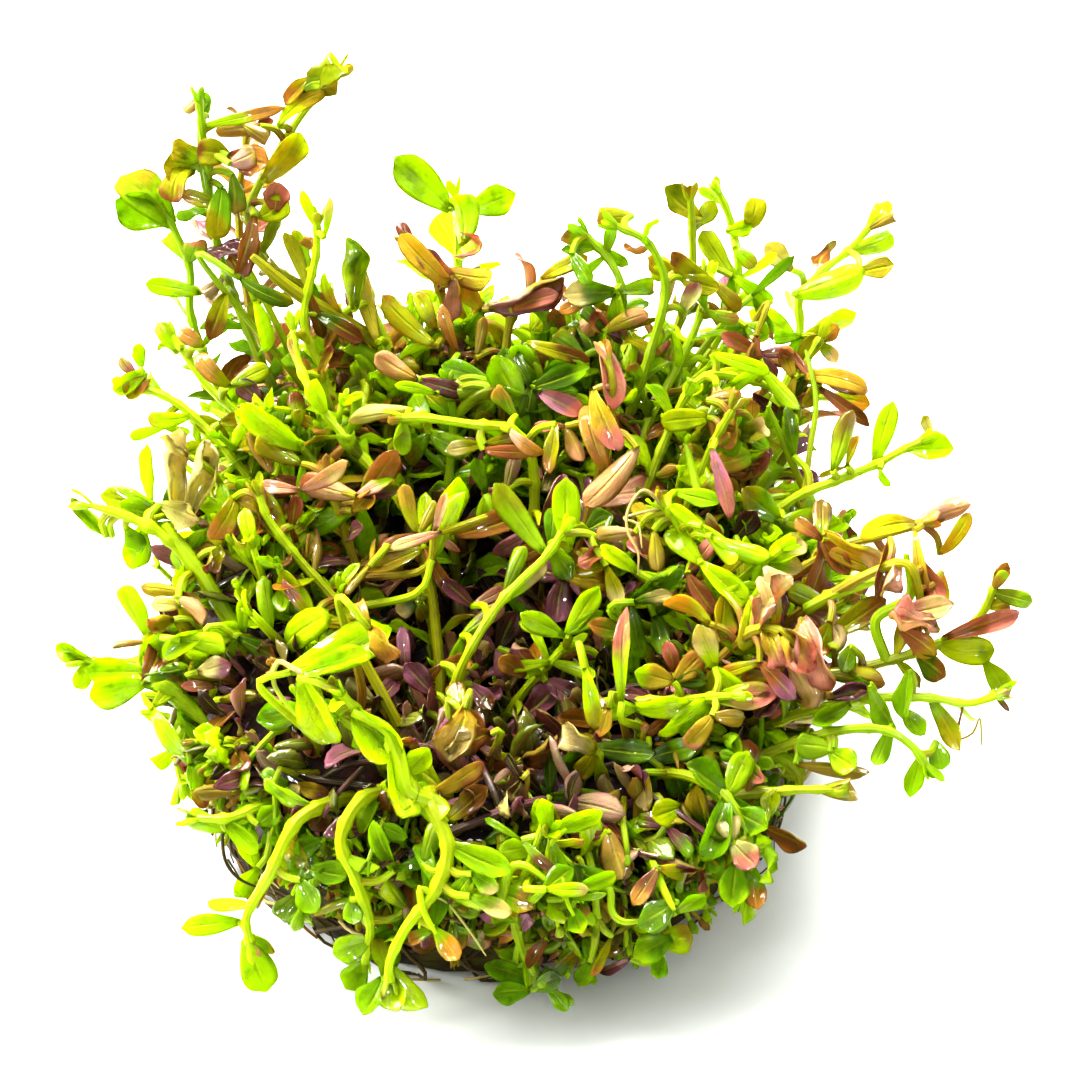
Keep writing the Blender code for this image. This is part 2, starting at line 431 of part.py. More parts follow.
class Shoot:
    """One shoot: its route, where its square stem starts, and the leaves it carries."""

    def __init__(self, name, index, tree):
        self.name = name
        self.finish, self.leaf_length, points = SHOOTS[name]
        self.index = index
        self.route = Route(points, index * 0.7)
        middle, corner = self.leaving_distances(tree)
        self.start = max(middle - SOCKET_DEPTH, LEAST_START)
        self.clear = corner
        self.nodes = []
        self.plan_nodes()
        self.stem_tree = tree_of(*self.stem_surface(CLEARANCE))

    def leaving_distances(self, tree):
        """How far along the route the stem's middle, and its last corner, leave the old growth."""
        middle = 0.0
        corner = 0.0
        for place, distance in zip(self.route.places, self.route.distances):
            if inside(tree, place):
                middle = distance
            if any(inside(tree, p) for p in self.corners(distance, TOUCH_GAP)):
                corner = distance
        return middle, corner

    def plan_nodes(self):
        """Distances at which leaves sit, placed leaves first, then pairs down from the tip."""
        taken = {}
        for share, tip, width in PLACED_LEAVES.get(self.name, ()):
            distance = min(share * self.route.length, self.route.length - FIRST_PAIR)
            taken.setdefault(round(distance, 1), []).append((Vector(tip), width))
        for distance, leaves in taken.items():
            self.nodes.append((distance, leaves, -1))
        pair = 0
        kept = max(0, len(taken) - 1)
        distance = self.route.length - FIRST_PAIR
        while distance > self.clear + BARE_STRETCH and kept < MOST_PAIRS:
            free = all(abs(distance - other) > LEAST_NODE_GAP for other in taken)
            if free and (pair < PAIRS_AT_TIP or pair % 2 == 1):
                self.nodes.append((distance, None, pair))
                kept += 1
            pair += 1
            distance -= PAIR_SPACING
        self.nodes.sort(key=lambda node: node[0])

    def radius_at(self, distance):
        share = distance / self.route.length
        return STEM_RADIUS + (STEM_TIP_RADIUS - STEM_RADIUS) * share

    def ring_distances(self):
        """Where the stem has a square ring: its foot, both sides of each leaf node, its end."""
        found = [self.start]
        for distance, _, _ in self.nodes:
            found += [distance - NODE_HALF_HEIGHT, distance + NODE_HALF_HEIGHT]
        if self.route.length - found[-1] > LONGEST_GAP_TO_TIP:
            found.append(self.route.length)
        filled = [found[0]]
        for distance in found[1:]:
            gap = distance - filled[-1]
            extra = int(gap / LONGEST_STEM_FACE)
            start = filled[-1]
            for k in range(extra):
                filled.append(start + gap * (k + 1) / (extra + 1))
            filled.append(distance)
        return filled

    def corners(self, distance, more=0.0):
        place, _, side, other = self.route.at(distance)
        reach = self.radius_at(distance) + more
        return [place + reach * (u * side + v * other) * HALF_ROOT_TWO
                for u, v in ((1, 1), (-1, 1), (-1, -1), (1, -1))]

    def stem_surface(self, more):
        points = []
        faces = []
        for distance in self.ring_distances():
            points += self.corners(distance, more)
        rings = len(points) // 4
        for k in range(rings - 1):
            for i in range(4):
                j = (i + 1) % 4
                faces.append((4 * k + i, 4 * k + j, 4 * k + 4 + j, 4 * k + 4 + i))
        faces.append((3, 2, 1, 0))
        faces.append(tuple(range(4 * rings - 4, 4 * rings)))
        return points, faces


def tree_of(points, faces):
    return BVHTree.FromPolygons([tuple(p) for p in points], faces)


def inside(tree, place):
    near, normal, _, _ = tree.find_nearest(place)
    return (place - near).dot(normal) < 0


def leaf_sections(base, tip, across, width, thickness):
    """Corners of a leaf's widest section and of its blunt tip, from its base to its tip."""
    along = (tip - base).normalized()
    across = (across - along * across.dot(along)).normalized()
    face = along.cross(across)
    middle = base.lerp(tip, WIDEST_AT)
    wide = {}
    for u in (-1, 1):
        for v in (-1, 1):
            wide[u, v] = middle + across * (u * width / 2) + face * (v * thickness / 2)
    end = {u: tip + across * (u * width * TIP_WIDTH_SHARE / 2) for u in (-1, 1)}
    return wide, end


def leaf_tree(base, tip, across, width, thickness, outer_only=False):
    wide, end = leaf_sections(base, tip, across, width, thickness)
    points = [wide[-1, -1], wide[1, -1], wide[1, 1], wide[-1, 1], end[-1], end[1], base]
    faces = [(0, 1, 5, 4), (3, 2, 5, 4), (0, 3, 4), (1, 2, 5)]
    if not outer_only:
        faces += [(0, 1, 6), (1, 2, 6), (2, 3, 6), (3, 0, 6)]
    return tree_of(points, faces), [wide[k] for k in wide] + [end[-1], end[1]]


class Leaves:
    """Finds room for each leaf, so that none touches another shoot or leaf, a solid or the floor."""

    def __init__(self, stems, solids):
        self.stems = stems
        self.solids = solids
        self.placed = []

    def fits(self, carrier, base, tip, across, width):
        """carrier is the surface that the leaf grows from; only the leaf's outer half keeps off it."""
        fat = LEAF_THICKNESS + 2 * CLEARANCE
        tree, spots = leaf_tree(base, tip, across, width + 2 * CLEARANCE, fat)
        outer, _ = leaf_tree(base, tip, across, width, LEAF_THICKNESS, outer_only=True)
        if min(spot.z for spot in spots) < FLOOR_CLEARANCE:
            return False
        for solid in self.solids:
            if inside(solid, tip):
                return False
        for other in self.stems + self.solids:
            if (outer if other is carrier else tree).overlap(other):
                return False
        reach = (tip - base).length
        for owner, centre, size, leaf in self.placed:
            close = (centre - base).length < size + reach + 1
            if close and (outer if owner is carrier else tree).overlap(leaf):
                return False
        return True

    def take(self, carrier, base, tip, across, width):
        tree, _ = leaf_tree(base, tip, across, width, LEAF_THICKNESS)
        self.placed.append((carrier, base, (tip - base).length, tree))


def grow_leaf(bm, face, along, tip, across, width):
    """Extrudes a face into a leaf, out to its widest and then to a blunt tip. along and across are the
    directions of the face's two sides."""
    centre = face.calc_center_median()
    wide, end = leaf_sections(centre, tip, across, width, LEAF_THICKNESS)
    direction = (tip - centre).normalized()
    leaf_up = direction.cross((across - direction * across.dot(direction)).normalized())
    turned = -1 if leaf_up.dot(along) < 0 else 1
    blade = bmesh.ops.extrude_discrete_faces(bm, faces=[face])["faces"][0]
    where = {}
    for vert in blade.verts:
        u = 1 if (vert.co - centre).dot(across) > 0 else -1
        v = turned if (vert.co - centre).dot(along) > 0 else -turned
        where[vert] = (u, v)
    for vert, (u, v) in where.items():
        vert.co = wide[u, v]
    point = bmesh.ops.extrude_discrete_faces(bm, faces=[blade])["faces"][0]
    sides = {1: [], -1: []}
    for vert in point.verts:
        u = 1 if (vert.co - wide[-1, 1]).length > width / 2 else -1
        sides[u].append(vert)
    for u, verts in sides.items():
        bmesh.ops.pointmerge(bm, verts=verts, merge_co=end[u])


def grow_tangle(bm, tree, leaves):
    """Gives the old growth its leaves: each stands off its face, and hangs a little at the front."""
    draw = random.Random(TANGLE_SEED)
    walls = [face for face in bm.faces if len(face.verts) == 4]
    for face in walls[TANGLE_FIRST_ROW * GROWTH_SEGMENTS:TANGLE_LAST_ROW * GROWTH_SEGMENTS]:
        if draw.random() < TANGLE_BARE_SHARE:
            continue
        centre = face.calc_center_median()
        normal = face.normal.copy()
        across = (face.verts[1].co - face.verts[0].co).normalized()
        upward = normal.cross(across)
        front = max(0.0, -centre.y / Vector((centre.x, centre.y)).length)
        lift = TANGLE_LIFT - (TANGLE_LIFT + TANGLE_HANG) * front
        direction = normal + Vector((0, 0, lift)) + across * draw.uniform(-TANGLE_LEAN, TANGLE_LEAN)
        reach = direction.normalized() * draw.uniform(*TANGLE_LENGTH)
        width = draw.uniform(*TANGLE_WIDTH)
        for shrink, swing in LEAF_TRIES:
            tip = centre + Matrix.Rotation(swing, 3, upward) @ reach * shrink
            if leaves.fits(tree, centre, tip, across, width * shrink):
                leaves.take(tree, centre, tip, across, width * shrink)
                stalk = bmesh.ops.extrude_discrete_faces(bm, faces=[face])["faces"][0]
                for vert in stalk.verts:
                    vert.co = centre.lerp(vert.co, TANGLE_STALK_SHARE)
                grow_leaf(bm, stalk, upward, tip, across, width * shrink)
                break


def shoot_mesh(shoot, leaves):
    """The square stem drawn up along its route, and the leaves extruded from its sides."""
    bm = bmesh.new()
    distances = shoot.ring_distances()
    rings = [[bm.verts.new(p) for p in shoot.corners(d)] for d in distances]
    side_faces = {}
    for k, (lower, upper) in enumerate(zip(rings, rings[1:])):
        for i in range(4):
            j = (i + 1) % 4
            side_faces[k, i] = bm.faces.new((lower[i], lower[j], upper[j], upper[i]))
    bm.faces.new(reversed(rings[0]))
    bm.faces.new(rings[-1])
    bm.normal_update()
    for distance, placed, pair in shoot.nodes:
        k = min(range(len(distances)), key=lambda i: abs(distances[i] - distance + NODE_HALF_HEIGHT))
        place, along, side, other = shoot.route.at(distance)
        free = {i: side_faces[k, i] for i in range(4)}
        outward = {i: (face.calc_center_median() - place).normalized() for i, face in free.items()}
        wishes = []
        if placed is not None:
            for tip, width in placed:
                wishes.append((tip, width, (tip - place).normalized()))
        else:
            draw = random.Random(1000 * shoot.index + pair)
            axis = side if pair % 2 == 0 else other
            spread = SPREAD_AT_TIP if pair == 0 else SPREAD
            for sign in (1, -1):
                shorter = TIP_PAIR_SHARE if pair == 0 else 1.0
                length = shoot.leaf_length * draw.uniform(*LENGTH_SHARES) * shorter
                out = axis * sign
                direction = along * math.cos(spread) + out * math.sin(spread)
                direction = (direction + Vector((0, 0, draw.uniform(-LEAF_RISE, LEAF_RISE)))).normalized()
                wishes.append((place + direction * length, length * draw.uniform(*WIDTH_SHARES), out))
        for tip, width, out in wishes:
            if not free:
                break
            i = max(free, key=lambda n: outward[n].dot(out))
            across = along.cross(outward[i]).normalized()
            base = free[i].calc_center_median()
            for shrink, swing in LEAF_TRIES:
                reach = (tip - base) * shrink
                turned = base + Matrix.Rotation(swing, 3, along) @ reach
                if leaves.fits(shoot.stem_tree, base, turned, across, width * shrink):
                    leaves.take(shoot.stem_tree, base, turned, across, width * shrink)
                    grow_leaf(bm, free[i], along, turned, across, width * shrink)
                    del free[i]
                    break
    return bm


def socket_cutter(shoots):
    """One joined cutter: a square hole round each stem, as deep as the stem goes in."""
    bm = bmesh.new()
    for shoot in shoots:
        stops = shoot.ring_distances()
        buried = sum(1 for distance in stops if distance <= shoot.clear)
        stops = stops[:buried + RINGS_PAST_SOCKET]
        rings = [[bm.verts.new(p) for p in shoot.corners(d, TOUCH_GAP)] for d in stops]
        along = shoot.route.at(shoot.start)[1]
        bmesh.ops.translate(bm, vec=-along * TOUCH_GAP, verts=rings[0])
        skin(bm, rings)
        bm.faces.new(reversed(rings[0]))
        bm.faces.new(rings[-1])
    return bm


def main():
    clear_scene()
    materials = make_materials()
    pad = make_pad(materials["root_mat"])
    pad_points = [v.co / MM for v in pad.data.vertices]
    pad_tree = tree_of(pad_points, [tuple(p.vertices) for p in pad.data.polygons])
    tangle = growth_mesh()
    growth_tree = BVHTree.FromBMesh(tangle)

    shoots = [Shoot(name, index, growth_tree) for index, name in enumerate(SHOOTS)]
    leaves = Leaves([shoot.stem_tree for shoot in shoots], [growth_tree, pad_tree])
    for shoot in shoots:
        add_object(shoot.name, shoot_mesh(shoot, leaves), materials[shoot.finish])
    grow_tangle(tangle, growth_tree, leaves)
    growth = add_object("old_growth", tangle, materials["old_growth"])

    cutter = add_object("socket_cutter", socket_cutter(shoots), materials["old_growth"])
    cutter.hide_render = True
    cutter.display_type = "WIRE"
    cut = growth.modifiers.new("sockets", "BOOLEAN")
    cut.operation = "DIFFERENCE"
    cut.solver = "EXACT"
    cut.object = cutter


main()
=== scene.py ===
import math
import random

import bpy
import numpy as np
from mathutils import Matrix, Vector, noise


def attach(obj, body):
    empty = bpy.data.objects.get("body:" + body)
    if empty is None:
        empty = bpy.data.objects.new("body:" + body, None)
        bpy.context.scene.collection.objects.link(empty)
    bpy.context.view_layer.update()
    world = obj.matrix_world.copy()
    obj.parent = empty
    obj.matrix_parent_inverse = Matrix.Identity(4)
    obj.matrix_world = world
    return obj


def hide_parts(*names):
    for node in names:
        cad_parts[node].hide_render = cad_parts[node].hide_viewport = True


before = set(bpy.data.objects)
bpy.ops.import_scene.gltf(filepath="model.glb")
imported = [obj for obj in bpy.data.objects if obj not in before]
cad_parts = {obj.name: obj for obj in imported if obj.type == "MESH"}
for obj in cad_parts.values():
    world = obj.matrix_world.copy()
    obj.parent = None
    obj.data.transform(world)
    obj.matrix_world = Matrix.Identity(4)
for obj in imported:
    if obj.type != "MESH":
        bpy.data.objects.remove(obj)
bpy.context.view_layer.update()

scene = bpy.context.scene

# Camera, floor and lights. The plant stands on a plain white floor in a bright white studio, seen
# from the front and 40 degrees above, with most of the light from above and behind.
VIEW_TARGET = Vector((0.0048, 0.0, 0.0313))
VIEW_ELEVATION = math.radians(40)
VIEW_DISTANCE = 0.4
TOWARDS_VIEW = Vector((0, -math.cos(VIEW_ELEVATION), math.sin(VIEW_ELEVATION)))
LENS = 133.3
SENSOR_WIDTH = 36.0
SIGHT = (0.01, 20.0)
# Each lamp's place and size in metres, and its power
LAMPS = {"top_light": ((-0.1, 0.32, 0.63), 0.7, 25.0), "left_light": ((-0.6, 0.1, 0.3), 0.5, 14.0)}
# Small lamps that only shine back from wet places
GLINT_PLACES = ((-0.15, -0.1, 0.7), (0.3, 0.1, 0.6), (-0.35, 0.2, 0.5), (0.05, -0.4, 0.5), (0.1, 0.35, 0.6))
GLINT_SIZE = 0.06
GLINT_POWER = 3.0
# The studio's walls are brighter behind the plant than before it
STUDIO_LIGHT = 1.3
STUDIO_FALLOFF = 0.35
FLOOR_REACH = 3.0
FLOOR_COLOUR = (0.69, 0.70, 0.68)
FLOOR_ROUGHNESS = 0.6

lens = bpy.data.cameras.new("camera")
lens.lens = LENS
lens.sensor_width = SENSOR_WIDTH
lens.clip_start, lens.clip_end = SIGHT
camera = bpy.data.objects.new("camera", lens)
scene.collection.objects.link(camera)
camera.location = VIEW_TARGET + TOWARDS_VIEW * VIEW_DISTANCE
camera.rotation_mode = "QUATERNION"
camera.rotation_quaternion = (-TOWARDS_VIEW).to_track_quat("-Z", "Y")
scene.camera = camera


def adds(operation):
    """A way of joining output sockets that adds one node of maths."""
    return lambda wire, *others: wire.maths(operation, *others)


class Wire:
    """An output socket. Arithmetic on it adds Math nodes, or Vector Math nodes where one is a vector."""

    def __init__(self, net, socket):
        self.net = net
        self.socket = socket

    def maths(self, operation, *others):
        operands = (self, *others)
        vector = any(isinstance(v, tuple) or isinstance(v, Wire) and v.socket.type == "VECTOR"
                     for v in operands)
        kind = "ShaderNodeVectorMath" if vector else "ShaderNodeMath"
        return self.net.node(kind, {"operation": operation}, dict(enumerate(operands)))

    __add__ = __radd__ = adds("ADD")
    __sub__ = adds("SUBTRACT")
    __mul__ = __rmul__ = adds("MULTIPLY")
    __truediv__ = adds("DIVIDE")
    __pow__ = adds("POWER")
    cross = adds("CROSS_PRODUCT")
    sin = adds("SINE")
    cos = adds("COSINE")
    size = adds("ABSOLUTE")
    least = adds("MINIMUM")
    most = adds("MAXIMUM")

    def __rsub__(self, other):
        return (self * -1.0) + other

    def parts(self):
        """The three numbers of a vector."""
        split = self.net.node("ShaderNodeSeparateXYZ", {}, {0: self})
        return [Wire(self.net, socket) for socket in split.socket.node.outputs]

    def ramp(self, low, high):
        """0 below low, 1 above high, and a smooth step between; reversed if low is above high."""
        if low > high:
            return 1 - self.ramp(high, low)
        return self.net.node("ShaderNodeMapRange", {"interpolation_type": "SMOOTHSTEP"},
                             {"Value": self, "From Min": low, "From Max": high})


class Net:
    """A node tree of a material, of the studio's walls or of Geometry Nodes."""

    def __init__(self, tree):
        self.tree = tree

    def node(self, kind, settings, feeds, out=0):
        made = self.tree.nodes.new(kind)
        for key, value in settings.items():
            setattr(made, key, value)
        for key, value in feeds.items():
            socket = made.inputs[key]
            if isinstance(value, Wire):
                self.tree.links.new(value.socket, socket)
            elif socket.type == "VECTOR" and isinstance(value, (int, float)):
                socket.default_value = (value, value, value)
            elif socket.type == "RGBA":
                socket.default_value = (*value, 1.0)
            else:
                socket.default_value = value
        return Wire(self, made.outputs[out])

    def attribute(self, name, out=1):
        """An attribute of the mesh as a vector, or as a colour from output 0."""
        return self.node("ShaderNodeAttribute", {"attribute_name": name}, {}, out)

    def blend(self, factor, first, second):
        """A colour between two colours."""
        return self.node("ShaderNodeMix", {"data_type": "RGBA"}, {0: factor, 6: first, 7: second}, 2)

    def speckle(self, where, scale, detail=2.0):
        """Noise from 0 to 1 at so many lumps a metre."""
        return self.node("ShaderNodeTexNoise", {}, {"Vector": where, "Scale": scale, "Detail": detail})


def new_material(name):
    """An empty material: its tree and its output socket."""
    material = bpy.data.materials.new(name)
    material.use_nodes = True
    net = Net(material.node_tree)
    net.tree.nodes.clear()
    output = net.tree.nodes.new("ShaderNodeOutputMaterial")
    return material, net, output.inputs["Surface"]


def add_light(name, place, size, power):
    lamp = bpy.data.lights.new(name, "AREA")
    lamp.shape = "DISK"
    lamp.size = size
    lamp.energy = power
    made = bpy.data.objects.new(name, lamp)
    made.location = place
    made.rotation_mode = "QUATERNION"
    made.rotation_quaternion = (VIEW_TARGET - made.location).to_track_quat("-Z", "Y")
    scene.collection.objects.link(made)
    return made


for name, values in LAMPS.items():
    add_light(name, *values)
for k, place in enumerate(GLINT_PLACES):
    add_light("glint_light_%d" % (k + 1), place, GLINT_SIZE, GLINT_POWER).visible_diffuse = False

world = bpy.data.worlds.new("white_studio")
world.use_nodes = True
net = Net(world.node_tree)
_, behind, _ = net.node("ShaderNodeTexCoord", {}, {}, "Generated").parts()
backdrop = world.node_tree.nodes["Background"]
backdrop.inputs["Color"].default_value = (1, 1, 1, 1)
net.tree.links.new((STUDIO_LIGHT + STUDIO_FALLOFF * behind).socket, backdrop.inputs["Strength"])
scene.world = world
scene.view_settings.view_transform = "Standard"
scene.view_settings.look = "Medium High Contrast"

floor_mesh = bpy.data.meshes.new("floor")
corners = [(x * FLOOR_REACH, y * FLOOR_REACH, 0) for x, y in ((-1, -1), (1, -1), (1, 1), (-1, 1))]
floor_mesh.from_pydata(corners, [], [(0, 1, 2, 3)])
floor = bpy.data.objects.new("floor", floor_mesh)
scene.collection.objects.link(floor)
material, net, surface = new_material("floor_white")
shader = net.node("ShaderNodeBsdfPrincipled", {}, {"Base Color": FLOOR_COLOUR, "Roughness": FLOOR_ROUGHNESS})
net.tree.links.new(shader.socket, surface)
floor_mesh.materials.append(material)

# Pad of gel and matted roots. The real one is the plug of clear jelly that the plant was grown in,
# full of fine roots, wet and olive brown, cast flat at the bottom by the cup.
MM = 0.001
PAD_RADIUS = 31.0
PAD_FOOT_RADIUS = 29.6
PAD_HEIGHT = 12.0
PAD_LUMP = 0.7
PAD_ROUGHNESS = 0.35
PAD_SIDES = 120
# Height and radius of each ring
PAD_LEVELS = (
    (0.0, PAD_FOOT_RADIUS - 0.5), (0.7, PAD_FOOT_RADIUS + 0.3), (3.0, PAD_RADIUS - 0.4),
    (5.5, PAD_RADIUS - 0.2), (8.0, PAD_RADIUS), (10.5, PAD_RADIUS - 0.3), (PAD_HEIGHT, PAD_RADIUS - 1.8))
# Size of the lumps: how many fit in the pad's radius and how high each is; the fine ones are 1 mm high
LUMPS_ACROSS = 2.2
LUMP_HEIGHT = 7.0
FINE_LUMPS_ACROSS = 9


def paint(*shown):
    """A colour as a screen shows it, 0 to 255, as the shader's linear numbers."""
    return tuple((c / 255 / 12.92) if c < 10.3 else ((c / 255 + 0.055) / 1.055) ** 2.4 for c in shown)


# Dark and pale patches of the jelly, and the roots in it
GEL_COLOURS = (paint(28, 20, 8), paint(62, 56, 18), paint(26, 14, 6))
GEL_PATCHES = 130.0
GEL_ROOTS = (260.0, 260.0, 900.0)
GEL_RELIEF = (0.5, 0.0006)


def round_place(angle, radius, height):
    """A place by its angle round the middle of the pad, its distance from the middle and its height."""
    return radius * math.cos(angle), radius * math.sin(angle), height


def lump(angle, height, amount):
    """A smooth bump that depends on where round the pad and how high it is, as on the solids."""
    return amount * noise.noise(round_place(angle, LUMPS_ACROSS, height / LUMP_HEIGHT))


def mesh_from(name, points, faces):
    """A smooth mesh with its points given in mm."""
    mesh = bpy.data.meshes.new(name)
    mesh.from_pydata([tuple(c * MM for c in p) for p in points], [], faces)
    mesh.shade_smooth()
    mesh.update()
    return mesh


def add_piece(name, mesh, node=None):
    """Puts a finished mesh in the scene as a piece of the plant."""
    made = bpy.data.objects.new(name, mesh)
    scene.collection.objects.link(made)
    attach(made, "root")
    if node:
        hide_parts(node)


def turned(levels, sides, place):
    """Points and faces of a closed form: rings from the bottom to the top, and a lid on each end."""
    points = [place(level, 2 * math.pi * i / sides) for level in levels for i in range(sides)]
    faces = []
    for k in range(len(levels) - 1):
        for i in range(sides):
            j = (i + 1) % sides
            faces.append((k * sides + i, k * sides + j, (k + 1) * sides + j, (k + 1) * sides + i))
    last = (len(levels) - 1) * sides
    faces.append(tuple(reversed(range(sides))))
    middle = len(points)
    top = points[last:]
    points.append(tuple(sum(p[c] for p in top) / sides for c in range(3)))
    faces += [(last + i, last + (i + 1) % sides, middle) for i in range(sides)]
    return points, faces


def pad_place(level, angle):
    height, radius = level
    rough = PAD_ROUGHNESS * noise.noise(round_place(angle, FINE_LUMPS_ACROSS, height))
    return round_place(angle, radius + (lump(angle, height, PAD_LUMP) + (rough if height else 0)), height)


def matted_material(name, patch_scale, thread_scale, colours, relief, roughness):
    """Something wet and matted: dark patches and paler ones, with threads of a third colour on them."""
    material, net, surface = new_material(name)
    where = net.node("ShaderNodeTexCoord", {}, {}, "Object")
    patches = net.speckle(where, patch_scale, 3.0)
    threads = net.speckle(where * thread_scale, 1.0, 4.0)
    dark, pale, thread = colours
    colour = net.blend(patches.ramp(0.35, 0.65), dark, pale)
    colour = net.blend(threads.ramp(0.5, 0.7), colour, thread)
    strength, depth = relief
    bump = net.node("ShaderNodeBump", {}, {"Strength": strength, "Distance": depth, "Height": threads})
    shader = net.node("ShaderNodeBsdfPrincipled", {}, {
        "Base Color": colour, "Roughness": roughness(patches, threads), "Specular IOR Level": 0.06,
        "Coat Weight": 0.05, "Coat Roughness": 0.06, "Normal": bump})
    net.tree.links.new(shader.socket, surface)
    return material


pad_mesh = mesh_from("root_mat_gel", *turned(PAD_LEVELS, PAD_SIDES, pad_place))
pad_mesh.materials.append(matted_material("wet_root_gel", GEL_PATCHES, GEL_ROOTS, GEL_COLOURS, GEL_RELIEF,
                                          lambda patches, threads: 0.5 + 0.3 * patches))
add_piece("root_mat_gel", pad_mesh, "root_mat")

# Shoots that make the outline, the loops and the crossings. Each grew as one stem, square and finely
# ridged, with pairs of leaves, each pair turned a quarter from the last; the leaves are thin, broadest
# past the middle and round at the tip, and age from lime green through olive to amber, pink and brown.
STEM_RADIUS = 0.56
STEM_TIP_RADIUS = 0.36
# Radius in mm of the stems that are thicker or thinner than the others
OTHER_STEMS = {
    "front_loop": 0.74, "front_long_loop": 0.8, "front_left": 0.76, "near_leaf": 0.8, "front_level": 0.7,
    "crossing_stem": 0.5, "twin_leaf": 0.55, "left_branch": 0.75, "level_stem": 0.62, "long_arc": 0.66,
    "right_branch": 0.62, "right_droop": 0.62, "back_far": 0.75, "front_side": 0.7}
# How much thicker a stem is where leaves grow, and how far that reaches
NODE_SWELLING = 0.28
NODE_LENGTH = 0.45
NODE_REACH = 1.5
# The first pair's distance from the shoot's end, and the pairs' distance from each other
FIRST_PAIR = 0.9
PAIR_SPACING = 3.0
# How far a leaf of a pair reaches, against the length drawn for it
PAIR_REACH = 1.15
BUD_LEAVES = 3
ROUTE_STEP = 0.5
# A whole turn, for angles left to chance
ROUND = 6.28
LEAF_THICKNESS = 0.26
LEAST_CURL = 0.05
